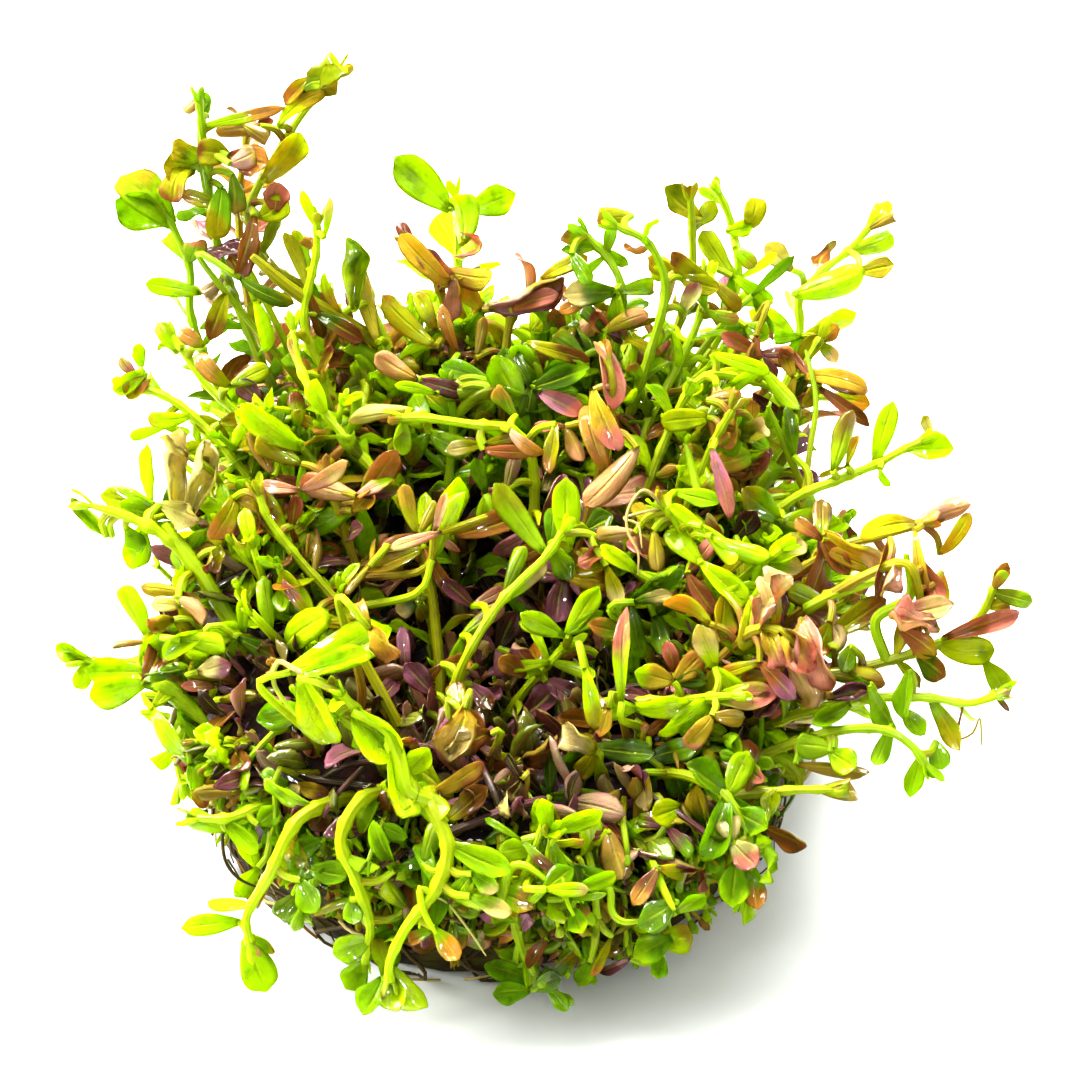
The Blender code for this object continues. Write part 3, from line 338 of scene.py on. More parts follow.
# Each shoot: its finish, the length of its leaves and its points from foot to tip, in mm, as on the solids
SHOOTS = {
    "tower_left": ("green", 4.5, [(-12, 12, 14), (-20, 19, 28), (-25, 24, 38), (-28, 29, 44),
        (-29, 31, 49), (-29.3, 32, 53.5), (-29.6, 33, 57), (-29.9, 34, 61)]),
    "tower_long": ("olive", 5.0, [(-4, 11, 14), (-9.5, 18.5, 30), (-14, 24.5, 38.5), (-19, 28, 41.5),
        (-24, 29, 45), (-25, 31, 50), (-22, 34, 55), (-19, 36, 59), (-15.8, 38, 61.5)]),
    "tower_branch": ("green", 4.5, [(-17, 9, 14), (-26, 19, 29), (-31, 24.5, 39.5), (-31.3, 27.5, 44.5),
        (-32.6, 29, 48), (-34.3, 30.2, 51)]),
    "tower_russet": ("russet", 4.5, [(-15, 16, 14), (-20, 25, 27), (-25, 30, 35), (-26.5, 34, 42),
        (-26.5, 36, 48), (-25.5, 37.5, 55)]),
    "back_far": ("lime", 6.0, [(-2, 16, 14), (-3, 28, 24), (-3.5, 38, 31), (-4, 42, 35), (-4, 44, 40),
        (-4.3, 44.5, 42)]),
    "back_olive": ("olive", 4.5, [(7, 13, 14), (14, 21, 28), (19, 26, 38), (20.5, 28.5, 43),
        (20.5, 30, 47.5), (20.3, 31, 51)]),
    "back_tall": ("lime", 4.0, [(11, 16, 14), (18, 24, 26), (24, 29, 36), (25.5, 31.5, 40.5),
        (25.2, 33.3, 43.8), (24.4, 34, 47), (23.3, 34.5, 49.5)]),
    "back_right": ("lime", 6.0, [(15, 14, 14), (25, 24, 21), (31, 31, 27), (32.5, 34.5, 31),
        (32.5, 36.5, 34.5), (35, 38.5, 36.5), (37.6, 39.5, 38.3), (40, 40.5, 41)]),
    "back_curl": ("green", 3.5, [(5, 11, 15), (10, 16.5, 30), (13, 21, 42), (13, 22.5, 46.5),
        (11.5, 24.3, 48.7), (9.5, 25.3, 50.5)]),
    "back_arch": ("green", 3.5, [(10, 8, 15), (12.5, 13, 30), (16, 17, 42), (17.5, 19.5, 48),
        (15.8, 21, 52.5), (12.5, 21.8, 54.2)]),
    "russet_fan": ("russet", 5.0, [(-2, 9.5, 15), (-3, 17, 30), (-4.5, 23.5, 39.5), (-5.6, 26, 43.5),
        (-7, 27.3, 45.3), (-8.3, 28, 47)]),
    "pink_leaf": ("russet", 5.0, [(2.5, 8, 15), (1, 15, 30), (1.5, 21.5, 41), (3.5, 23.8, 44),
        (6.5, 25, 46)]),
    "back_pair": ("lime", 5.5, [(-5.5, 5.5, 15), (-8.5, 11.5, 27), (-10.3, 17.5, 35), (-11, 21.5, 39.5),
        (-12.5, 24, 42.5)]),
    "crown_right": ("green", 6.5, [(5.5, 4.5, 15), (6, 9.5, 28), (5.5, 13.5, 36), (5, 15.5, 39.5)]),
    "crown_left": ("green", 6.0, [(-3, 4, 15), (-4.5, 9, 28), (-4, 13, 36), (-4.5, 14.5, 39.5)]),
    "pink_cluster": ("russet", 7.5, [(6, 0.5, 15), (9, 3.5, 28), (11.5, 7, 38), (12, 9, 44),
        (11.5, 10.5, 46)]),
    "pale_stem": ("lime", 4.5, [(9.5, 3.5, 15), (13, 6.5, 26), (15, 10, 32), (15.5, 13, 35), (18, 17, 38),
        (21, 22, 42), (22, 24.5, 45.5)]),
    "long_arc": ("lime", 5.0, [(-4.5, -8, 13), (-5.5, -5.5, 20), (-6.5, -1.5, 28), (-8, 2.5, 32),
        (-12.5, 7, 35.5), (-17, 11, 39), (-19.5, 15, 41.5), (-20.2, 18, 44)]),
    "level_stem": ("lime", 5.0, [(2, 1, 15), (4, 4.5, 28), (4, 7.5, 35.5), (2, 8.5, 38.5), (-2, 8, 39.7),
        (-6.5, 8, 40.5), (-9, 8, 40.5)]),
    "left_pair": ("lime", 6.0, [(-9.5, 1, 15), (-14, 5, 27), (-18.2, 8, 35), (-21, 9.5, 37.6),
        (-23, 10.5, 39)]),
    "pink_fold": ("russet", 5.0, [(-9, -4, 15), (-13, -1, 26), (-15.5, 2, 34), (-16.5, 3.5, 36.5)]),
    "olive_left": ("olive", 6.0, [(-7.5, -8.5, 14), (-10.5, -7.2, 20), (-14, -6, 26), (-19, -3.5, 31.5),
        (-22, -1.5, 35), (-23, 0, 37)]),
    "twin_leaf": ("lime", 5.5, [(-1, -11.5, 13), (0.5, -11.3, 16), (3, -10.5, 20), (5.5, -9.5, 23),
        (7.3, -9, 25)]),
    "crossing_stem": ("lime", 6.0, [(-5, -14.5, 13), (-5, -14, 17), (-3.8, -13.2, 22.5), (-2.4, -12, 26.5),
        (1, -9, 31), (5.2, -6, 34), (7, -4.5, 36)]),
    "front_level": ("lime", 6.0, [(8.5, -12.5, 14), (10.5, -15, 19), (13, -16, 23.5), (18.5, -18, 26),
        (23.5, -19.5, 28)]),
    "folded_tip": ("lime", 5.5, [(13, -5.5, 15), (19, -7.5, 20), (22.5, -8, 25), (21.5, -5.5, 31),
        (18.5, -3.5, 36), (17, -3, 38)]),
    "amber_tip": ("lime", 5.0, [(16, -3, 15), (22, -3.5, 24), (25, -5.5, 31), (27, -7, 34.5),
        (28.5, -8, 37)]),
    "wilted_hook": ("russet", 6.5, [(14.5, -10, 15), (20.5, -12.5, 24), (25, -14, 31), (27.5, -15.5, 33),
        (30, -17, 31.5), (32, -18, 28)]),
    "right_branch": ("lime", 6.0, [(14, 1, 15), (21, 2.5, 24), (27.5, 4, 30.5), (31, 5, 33), (34.5, 6, 34),
        (38.5, 7, 35.3), (41.5, 7.5, 37), (43, 8, 37.5)]),
    "right_olive": ("olive", 5.0, [(14, 7, 15), (22, 10.5, 22), (29, 13.5, 29), (31, 15.5, 34),
        (31.8, 18, 39), (33.5, 20, 41.5)]),
    "right_arch": ("lime", 4.5, [(10, -0.5, 15), (14, 5, 28), (18.5, 11.5, 38), (21.5, 13.5, 41.5),
        (25.5, 14.5, 40.5), (28, 14.5, 39.5)]),
    "bubble_leaf": ("olive", 5.5, [(13, -2, 15), (17, 1, 27), (20.5, 4.5, 34.5), (22, 6, 38.5),
        (24, 7.5, 42)]),
    "right_red": ("russet", 6.0, [(18, -6, 15), (26.5, -4.5, 26.5), (33.5, -5, 34), (38.5, -5.5, 36.5),
        (42.3, -5.5, 38)]),
    "right_droop": ("russet", 6.5, [(18.5, -9.5, 15), (25.5, -9.5, 25), (32.5, -10, 32),
        (37.5, -10.8, 36.5), (40.3, -12, 38.3), (41.4, -13, 36), (41.8, -14, 33)]),
    "right_tip": ("olive", 4.0, [(20, -13, 15), (29, -13.5, 24), (37.5, -15, 28), (44, -14, 30),
        (47.6, -12.8, 32.3), (49, -11.8, 35.3)]),
    "right_low_stem": ("lime", 4.5, [(19, -16.5, 14), (27.5, -16.5, 21.5), (36, -18, 26), (42, -19, 27.3),
        (46.3, -19.5, 27), (49, -19.5, 28)]),
    "right_hanging": ("green", 5.0, [(17, -20, 14), (25.5, -20.5, 20.5), (33, -21.5, 25),
        (37.8, -22.5, 26.3), (40.5, -23.8, 25.5), (42, -25, 24)]),
    "right_brown": ("olive", 5.5, [(21, -8, 14), (27.5, -8, 21), (31.5, -7.5, 26.5), (35, -8, 30)]),
    "right_flat": ("olive", 5.0, [(15, -22.5, 14), (22, -25, 19.5), (28.5, -26.5, 22), (32.5, -27, 22.6)]),
    "corner_hanging": ("green", 5.5, [(12, -18, 14), (17.5, -23, 21), (22, -27, 22.5), (24.3, -29.8, 20.5),
        (25, -31.8, 17.5), (24.7, -33, 14.8)]),
    "round_leaves": ("green", 4.0, [(9, -21, 14), (13.5, -28, 18), (16.3, -31.8, 15), (17, -33.8, 11.5),
        (16.5, -35, 7.5)]),
    "front_left": ("lime", 5.5, [(-8, -18, 14), (-14, -24.5, 19), (-18.5, -28.5, 20), (-21.3, -31.3, 15.5),
        (-23.6, -33, 11.5), (-23.4, -34, 9)]),
    "front_side": ("lime", 4.0, [(-12, -15, 14), (-18, -21, 17.5), (-22.5, -24.5, 18), (-25.5, -26, 17.8),
        (-28.5, -26.5, 18.3)]),
    "front_loop": ("lime", 4.5, [(-5, -19, 14), (-9.5, -25, 20.5), (-12.5, -28.5, 22.5),
        (-14.3, -31.3, 20), (-12.8, -33.3, 16.5), (-11.6, -34.6, 12), (-12.2, -34.8, 7)]),
    "front_long_loop": ("lime", 5.0, [(-1.5, -20, 14), (-5.5, -26.5, 21.5), (-5.7, -30.5, 24),
        (-4, -33.4, 21.5), (-5, -35.6, 18), (-8, -37.6, 14.5), (-9.6, -38.5, 10.8), (-9.7, -38.8, 8.6)]),
    "near_leaf": ("lime", 7.5, [(-8, -16.5, 14), (-10, -21, 19), (-10.5, -23.5, 25), (-12, -25, 30),
        (-14, -25.3, 33.5)]),
    "front_bud": ("lime", 4.5, [(2.5, -19, 14), (4, -26.5, 17.5), (5, -31, 19.5), (5.6, -33, 22.6)]),
    "front_low": ("green", 4.0, [(1, -23, 15), (1, -29.5, 18.8), (1.8, -33.6, 14.5), (3, -35.2, 9.5),
        (4.5, -36.5, 6.5), (6.5, -37.3, 5)]),
    "front_right": ("lime", 4.5, [(6, -21, 14), (8.5, -27.5, 18), (9.8, -31.8, 16.5), (10.3, -34.3, 12.5)]),
    "front_corner": ("green", 4.0, [(-9.5, -21.5, 14), (-14.5, -26.5, 15.5), (-17, -29.5, 13.5),
        (-18.5, -31, 10)]),
    "left_low": ("lime", 4.5, [(-18, -7, 14), (-25, -9.8, 18.7), (-29.8, -11.5, 18), (-31.6, -13.3, 15.3),
        (-31, -15.3, 12.2)]),
    "left_round": ("lime", 5.0, [(-17, -3.5, 14), (-23.5, -5.5, 19.5), (-30, -7, 21.5), (-36, -8.5, 22.5),
        (-40.5, -10, 24)]),
    "left_branch": ("lime", 5.0, [(-14, -0.5, 14), (-20, -1.5, 19.5), (-25, -2.5, 23.5), (-29, -2, 28),
        (-32.5, -0.5, 32), (-36.5, 0.5, 34), (-40, 1, 35)]),
    "left_fork": ("lime", 5.0, [(-13.5, 4, 14), (-19, 7, 24), (-25, 9, 32.5), (-29.5, 11.5, 37),
        (-33, 13, 39.3), (-37, 14, 40)]),
    "left_upper": ("lime", 5.0, [(-11, 6.5, 14), (-17.5, 11, 26), (-25, 15, 34), (-29.3, 17.3, 37.5),
        (-31.5, 19.3, 40), (-32.8, 20.5, 41.5)]),
    "left_thin": ("lime", 4.0, [(-9.5, 9.5, 14), (-13.5, 14.5, 28), (-17.5, 18.5, 38), (-19.3, 21, 43),
        (-18, 23.8, 49), (-17.8, 24.6, 52.5)]),
    "back_left_low": ("green", 5.5, [(-12, 19, 14), (-17, 29, 19), (-20, 36, 23), (-22, 41, 24)]),
    "back_low": ("green", 5.5, [(7, 20, 14), (9.5, 31, 19), (13, 38.5, 22), (14, 43, 21.5)]),
}


class Route:
    """A smooth curve through a shoot's points, with a square frame that doesn't twist."""

    def __init__(self, points, roll):
        self.places = []
        spots = [Vector(p) for p in points]
        ends = [2 * spots[0] - spots[1]] + spots + [2 * spots[-1] - spots[-2]]
        for a, b, c, d in zip(ends, ends[1:], ends[2:], ends[3:]):
            steps = max(2, int((c - b).length / ROUTE_STEP))
            for i in range(steps):
                t = i / steps
                self.places.append(0.5 * (2 * b + (c - a) * t + (2 * a - 5 * b + 4 * c - d) * t * t
                                          + (3 * b - a - 3 * c + d) * t * t * t))
        self.places.append(spots[-1])
        self.distances = [0.0]
        for p, q in zip(self.places, self.places[1:]):
            self.distances.append(self.distances[-1] + (q - p).length)
        self.length = self.distances[-1]
        self.sides = []
        along = (self.places[1] - self.places[0]).normalized()
        side = Matrix.Rotation(roll, 3, along) @ along.orthogonal().normalized()
        for i, place in enumerate(self.places):
            ahead = self.places[min(i + 1, len(self.places) - 1)]
            behind = self.places[max(i - 1, 0)]
            along = (ahead - behind).normalized()
            side = (side - along * side.dot(along)).normalized()
            self.sides.append((along, side))

    def at(self, distance):
        """The place, the direction and the two side directions at a distance from the foot."""
        distance = min(max(distance, 0.0), self.length)
        i = 0
        while i < len(self.distances) - 2 and self.distances[i + 1] < distance:
            i += 1
        t = (distance - self.distances[i]) / (self.distances[i + 1] - self.distances[i])
        place = self.places[i].lerp(self.places[i + 1], t)
        along = self.sides[i][0].lerp(self.sides[i + 1][0], t).normalized()
        side = self.sides[i][1]
        side = (side - along * side.dot(along)).normalized()
        return place, along, side, along.cross(side)


# Colours of the tissue, by name: what it is near the leaf's foot, what at its tip, how fresh it is,
# which sets how much light comes through, and how tan that light is
TISSUES = {
    "lime": (paint(168, 196, 0), paint(186, 208, 0), 0.95, 0.0),
    "bright": (paint(180, 208, 0), paint(194, 218, 4), 1.0, 0.0),
    "grass": (paint(134, 168, 0), paint(152, 184, 0), 0.9, 0.0),
    "green": (paint(96, 134, 0), paint(116, 154, 0), 0.75, 0.0),
    "deep": (paint(50, 74, 0), paint(64, 92, 0), 0.5, 0.0),
    "olive": (paint(140, 136, 0), paint(144, 120, 6), 0.65, 0.3),
    "olive_tip": (paint(146, 168, 0), paint(120, 86, 8), 0.7, 0.1),
    "amber": (paint(180, 154, 40), paint(172, 116, 48), 0.7, 0.7),
    "amber_tip": (paint(170, 190, 0), paint(204, 128, 36), 0.8, 0.3),
    "brown": (paint(120, 70, 24), paint(92, 44, 18), 0.4, 0.8),
    "rust": (paint(136, 76, 46), paint(104, 46, 32), 0.4, 1.0),
    "pink": (paint(206, 150, 122), paint(192, 114, 100), 0.6, 1.0),
    "pink_tip": (paint(184, 174, 40), paint(200, 128, 104), 0.7, 0.5),
    "mauve": (paint(160, 102, 118), paint(134, 78, 100), 0.4, 1.0),
    "plum": (paint(100, 46, 66), paint(80, 34, 52), 0.3, 1.0),
    "dark_plum": (paint(44, 20, 26), paint(36, 14, 22), 0.15, 1.0),
    "pale": (paint(218, 210, 126), paint(206, 184, 116), 0.85, 0.5),
    "root_brown": (paint(56, 32, 20), paint(56, 32, 20), 0.2, 0.8),
    "root_cream": (paint(190, 166, 104), paint(190, 166, 104), 0.5, 0.6),
}
# How often a leaf of a shoot of each finish has each tissue: for the young end, then for the old end; the
# old end's tissues are darker, partly the plant's own older colour and partly painted shade on the lower
# leaves
MIXES = {
    "lime": ({"lime": 8, "bright": 6, "grass": 3, "amber_tip": 0.7, "olive_tip": 0.5},
             {"lime": 5, "bright": 2, "grass": 4, "green": 2.5, "olive_tip": 2, "olive": 1.2, "brown": 1,
              "amber_tip": 1, "mauve": 0.6, "deep": 0.8}),
    "green": ({"grass": 6, "lime": 3, "green": 3},
              {"green": 5, "grass": 3, "deep": 3, "olive": 1.5, "brown": 1.2, "olive_tip": 1}),
    "olive": ({"olive_tip": 4, "olive": 4, "lime": 2, "amber_tip": 2, "brown": 1},
              {"olive": 3, "deep": 2, "brown": 3, "amber": 1.5, "rust": 1.5, "mauve": 1, "plum": 1}),
    "russet": ({"pink_tip": 3, "rust": 3, "amber": 2, "pink": 2.5, "amber_tip": 1.5, "olive_tip": 1},
               {"rust": 1.5, "brown": 1.5, "mauve": 4, "pink": 1.2, "olive": 0.7, "plum": 6}),
    # the old growth: mostly plum and dark plum, its own colour darkened further as painted shade of the pit
    "old_growth": ({"plum": 8, "dark_plum": 6, "mauve": 6, "brown": 0.8, "deep": 0.8, "rust": 0.5},
                   {"dark_plum": 8, "plum": 5, "mauve": 1.5, "brown": 1}),
}
# The tissue of a stem of each finish, at its young end and at its old end
STEM_TISSUES = {"lime": ("lime", "olive"), "green": ("grass", "olive"), "olive": ("olive_tip", "brown"),
                "russet": ("olive", "rust"), "old_growth": ("plum", "dark_plum")}
# Tips that a leaf may have in place of its own, and how often it has one
OTHER_TIPS = ("green", "green", "olive", "deep", "brown", "pink", "amber")
OTHER_TIP_SHARE = 0.22
# Tissues of withered leaves
WITHERED = ("brown", "rust", "amber", "pink", "mauve", "pale")


def varied(colour, draw, amount=0.16):
    """The same colour, a little lighter or darker."""
    factor = 1 + draw.uniform(-amount, amount)
    return tuple(c * factor * (1 + draw.uniform(-0.05, 0.05)) for c in colour)


def scattered(draw, aside, up, rise=0.0):
    """A chance direction: how far it spreads aside and up, and how much it leans up."""
    return Vector((draw.gauss(0, aside), draw.gauss(0, aside), draw.gauss(rise, up)))


class Growth:
    """Stems and leaf points of one piece, in mm, ready for the Geometry Nodes that give them bodies."""

    COLUMNS = {"leaf": 1, "girth": 1, "glow": 3, "along": 3, "up": 3, "size": 3, "bend": 3, "form": 3,
               "tint": 3, "tip_tint": 3}

    def __init__(self, finish, seed):
        self.finish = finish
        self.draw = random.Random(seed)
        self.points = []
        self.edges = []
        self.rows = {name: [] for name in self.COLUMNS}

    def add_point(self, place, **values):
        for name, width in self.COLUMNS.items():
            value = values.get(name, 0.0 if width == 1 else (0.0, 0.0, 0.0))
            self.rows[name].append(value)
        self.points.append(place)

    def tissue(self, age_and_shade):
        """A tissue of the finish at random: old ones, darker partly as painted shade, likelier as
        age_and_shade nears 1.
        """
        young, old = MIXES[self.finish]
        table = old if self.draw.random() < age_and_shade else young
        return self.draw.choices(list(table), list(table.values()))[0]

    def stem(self, places, radius_at, tissue_pair=None, nodes=()):
        """A stem through places. nodes are the distances along it where leaves grow."""
        young, old = (TISSUES[name] for name in tissue_pair or STEM_TISSUES[self.finish])
        first = len(self.points)
        count = len(places)
        distance = 0.0
        for i, place in enumerate(places):
            if i:
                distance += (place - places[i - 1]).length
                self.edges.append((first + i - 1, first + i))
            share = i / (count - 1)
            swell = sum(math.exp(-((distance - at) / NODE_LENGTH) ** 2) for at in nodes
                        if abs(distance - at) < NODE_REACH)
            youth = min(1.0, max(0.0, (share - 0.25) / 0.55))
            tint = tuple(a * youth + b * (1 - youth) for a, b in zip(young[0], old[0]))
            fresh, warm = (young[k] * youth + old[k] * (1 - youth) for k in (2, 3))
            self.add_point(place, girth=radius_at(share) * (1 + NODE_SWELLING * swell) * MM, tint=tint,
                           tip_tint=tint, glow=(fresh, warm, warm))

    def leaf(self, root, tip, across, width, tissue, curl=0.3, fold=0.4, twist=0.0, point=0.5, wave=0.1):
        """A leaf from root to tip. across is roughly the direction of its width. tissue is one name, or
        two, of the root's and the tip's."""
        along = tip - root
        length = along.length
        along.normalize()
        across = across - along * across.dot(along)
        if across.length < 0.05:
            across = along.orthogonal()
        across.normalize()
        up = across.cross(along)
        shade = self.draw
        names = tissue.split()
        if len(names) == 1 and self.finish != "old_growth" and shade.random() < OTHER_TIP_SHARE:
            names.append(shade.choice(OTHER_TIPS))
        low, _, fresh, warm_low = TISSUES[names[0]]
        _, high, tip_fresh, warm_high = TISSUES[names[-1]]
        if abs(curl) < LEAST_CURL:
            curl = LEAST_CURL
        stretch = curl / 2 / math.sin(curl / 2)
        turn = Matrix.Rotation(-curl / 2, 3, across)
        self.add_point(root, leaf=1.0, along=turn @ along, up=turn @ up,
                       size=(length * stretch * MM, width / 2 * MM, LEAF_THICKNESS / 2 * MM),
                       bend=(curl, fold, twist), form=(point, wave, shade.uniform(0, ROUND)),
                       tint=varied(low, shade), tip_tint=varied(high, shade),
                       glow=((fresh + tip_fresh) / 2, warm_low, warm_high))

    def mesh(self, name):
        mesh = bpy.data.meshes.new(name)
        mesh.from_pydata([tuple(c * MM for c in p) for p in self.points], self.edges, [])
        for column, width in self.COLUMNS.items():
            kind, key = ("FLOAT", "value") if width == 1 else ("FLOAT_VECTOR", "vector")
            layer = mesh.attributes.new(column, kind, "POINT")
            layer.data.foreach_set(key, np.array(self.rows[column], dtype=np.float32).ravel())
        return mesh


# A leaf's blank: its rows of cells stand closer towards the tip, its rim has this share of the thickness
# in its middle, and the last two values say how late it thins towards its sides and its ends
ROW_CROWDING = 1.45
RIM_SHARE = 0.3
EDGE_FALL = 2.5
END_FALL = 8
# Its shape: how much of the outline the tip keeps, how full it is, its ripples and sways, and how thick
# its foot and how round its tip are
TIP_SHARE = 0.985
FULLNESS = (2.5, 3.4)
LEAST_FOLD = 0.002
RIPPLES = (11.0, 1.2)
SWAYS = (6.0, 2.3, 3.0)
FOOT_THICKNESS = 1.6
TIP_ROUNDNESS = 0.06


def growth_tree():
    """Geometry Nodes that draw a round stem along every edge and a closed thin leaf at every leaf point."""
    tree = bpy.data.node_groups.new("growth", "GeometryNodeTree")
    sockets = {}
    for name, kind, value in (
            ("Growth", "Geometry", None), ("Stem sides", "Int", 8), ("Leaf cells across", "Int", 4),
            ("Leaf cells along", "Int", 8), ("Petiole share", "Float", 0.3),
            ("Broadest share", "Float", 1.1), ("Stem material", "Material", None),
            ("Leaf material", "Material", None)):
        made = tree.interface.new_socket(name, in_out="INPUT", socket_type="NodeSocket" + kind)
        if value is not None:
            made.default_value = value
        sockets[name] = made.identifier
    tree.interface.new_socket("Growth", in_out="OUTPUT", socket_type="NodeSocketGeometry")
    net = Net(tree)
    given = tree.nodes.new("NodeGroupInput")

    def size(name):
        return Wire(net, given.outputs[name])

    def read(name, kind="FLOAT"):
        return net.node("GeometryNodeInputNamedAttribute", {"data_type": kind}, {"Name": name})

    def store(geometry, name, value, kind="FLOAT_VECTOR"):
        return net.node("GeometryNodeStoreNamedAttribute", {"data_type": kind, "domain": "POINT"},
                        {"Geometry": geometry, "Name": name, "Value": value})

    def join(*pieces):
        joined = net.node("GeometryNodeJoinGeometry", {}, {})
        for piece in pieces:
            tree.links.new(piece.socket, joined.socket.node.inputs[0])
        return joined

    def finish(geometry, material):
        geometry = net.node("GeometryNodeSetShadeSmooth", {}, {"Geometry": geometry, "Shade Smooth": True})
        return net.node("GeometryNodeSetMaterial", {}, {"Geometry": geometry, "Material": size(material)})

    position = net.node("GeometryNodeInputPosition", {}, {})
    parted = net.node("GeometryNodeSeparateGeometry", {"domain": "POINT"},
                      {"Geometry": size("Growth"), "Selection": read("leaf").maths("GREATER_THAN", 0.5)})
    stems = Wire(net, parted.socket.node.outputs["Inverted"])

    # A stem: a round profile swept along the edges, with its own way round kept for the ridges
    circle = net.node("GeometryNodeCurvePrimitiveCircle", {"mode": "RADIUS"},
                      {"Resolution": size("Stem sides"), "Radius": 1.0})
    circle = store(circle, "round_at", position)
    curve = net.node("GeometryNodeMeshToCurve", {}, {"Mesh": stems})
    swept = net.node("GeometryNodeCurveToMesh", {},
                     {"Curve": curve, "Profile Curve": circle, "Scale": read("girth"), "Fill Caps": True})

    # A leaf blank: two grids a leaf's thickness apart, closed along their edge
    grid = net.node("GeometryNodeMeshGrid", {}, {
        "Size X": 2.0, "Size Y": 1.0, "Vertices X": size("Leaf cells across") + 1,
        "Vertices Y": size("Leaf cells along") + 1})
    across, along, _ = position.parts()
    share = along + 0.5
    rows = 1 - (1 - share) ** ROW_CROWDING
    thick = (1 - across.size() ** EDGE_FALL).most(0) * (1 - (2 * share - 1).size() ** END_FALL).most(0)
    rim = across.size().maths("LESS_THAN", 0.999) * (share - 0.5).size().maths("LESS_THAN", 0.499)
    sides = []
    for sign in (1.0, -1.0):
        face = (thick * (1 - RIM_SHARE) + RIM_SHARE) * rim * sign
        flat = net.node("ShaderNodeCombineXYZ", {}, {0: across, 1: rows, 2: face})
        sides.append(net.node("GeometryNodeSetPosition", {}, {"Geometry": grid, "Position": flat}))
    sides[1] = net.node("GeometryNodeFlipFaces", {}, {"Mesh": sides[1]})
    blank = net.node("GeometryNodeMergeByDistance", {}, {"Geometry": join(*sides), "Distance": 0.001})
    blank = store(blank, "leaf_at", position)

    # Leaves: a blank at every leaf point, then bent into the leaf's own outline, curl, fold and twist
    points = net.node("GeometryNodeMeshToPoints", {"mode": "VERTICES"}, {"Mesh": parted})
    points = store(points, "root_at", position)
    placed = net.node("GeometryNodeInstanceOnPoints", {}, {"Points": points, "Instance": blank})
    leaves = net.node("GeometryNodeRealizeInstances", {}, {"Geometry": placed})
    u, v, w = read("leaf_at", "FLOAT_VECTOR").parts()
    length, half_width, half_thick = read("size", "FLOAT_VECTOR").parts()
    curl, fold, twist = read("bend", "FLOAT_VECTOR").parts()
    point, wave, phase = read("form", "FLOAT_VECTOR").parts()
    reach = v * TIP_SHARE
    full = FULLNESS[0] + (point - 0.5) * FULLNESS[1]
    outline = (1 - reach) ** point * (size("Petiole share") + full * reach ** size("Broadest share"))
    breadth = outline * half_width
    fold = fold + LEAST_FOLD
    bend_angle = u * fold
    blade_x = breadth * bend_angle.sin() / fold
    blade_z = breadth * (1 - bend_angle.cos()) / fold
    blade_z = blade_z + breadth * wave * u.size() * (v * RIPPLES[0] + phase + u * RIPPLES[1]).sin()
    sway = (v * SWAYS[0] + phase * SWAYS[1]).sin()
    blade_z = blade_z + breadth * wave * sway * (u * SWAYS[2] + phase).cos()
    blade_z = blade_z + w * half_thick * (FOOT_THICKNESS - v)
    spin = twist * v
    side = blade_x * spin.cos() - blade_z * spin.sin()
    rise = blade_x * spin.sin() + blade_z * spin.cos()
    turn = curl * v
    run = length * turn.sin() / curl - length * TIP_ROUNDNESS * u * u * v ** END_FALL
    climb = length * (1 - turn.cos()) / curl
    forward = read("along", "FLOAT_VECTOR")
    upward = read("up", "FLOAT_VECTOR")
    sideways = forward.cross(upward)
    place = (read("root_at", "FLOAT_VECTOR") + sideways * side + forward * (run - rise * turn.sin())
             + upward * (climb + rise * turn.cos()))
    leaves = net.node("GeometryNodeSetPosition", {}, {"Geometry": leaves, "Position": place})

    both = join(finish(swept, "Stem material"), finish(leaves, "Leaf material"))
    result = tree.nodes.new("NodeGroupOutput")
    tree.links.new(both.socket, result.inputs[0])
    return tree, sockets


# The light that comes through pink and brown leaves, and through the others of each finish
WARM_GLOW = paint(206, 148, 104)
GLOWS = {"lime": paint(204, 230, 0), "green": paint(172, 208, 0), "olive": paint(190, 190, 6),
         "russet": paint(214, 150, 84), "old_growth": paint(150, 70, 70), "root_mat": paint(200, 170, 110)}
LEAF_GLOW = 0.66
STEM_GLOW = 0.3
# The share of each leaf that is wet, and where it is another
WET_SHARE = 0.22
WET_SHARES = {"old_growth": 0.5}
LEAF_MOTTLE = paint(56, 74, 0)
LEAF_VEINS = paint(214, 226, 60)
LEAF_RIM = paint(96, 66, 6)
LEAF_UNDERSIDE = paint(186, 200, 60)
# Veins that run along a leaf, in radians across half of it, and its side veins and their slant, in turns
LONG_VEINS = 18.85
SIDE_VEINS = 8.0
VEIN_SLANT = 2.4
TURN = 6.283
STEM_DULL = paint(70, 90, 0)
STEM_RIDGES = paint(206, 220, 40)
STEM_MOTTLE = paint(92, 84, 24)
RIDGES_ROUND = 8.0


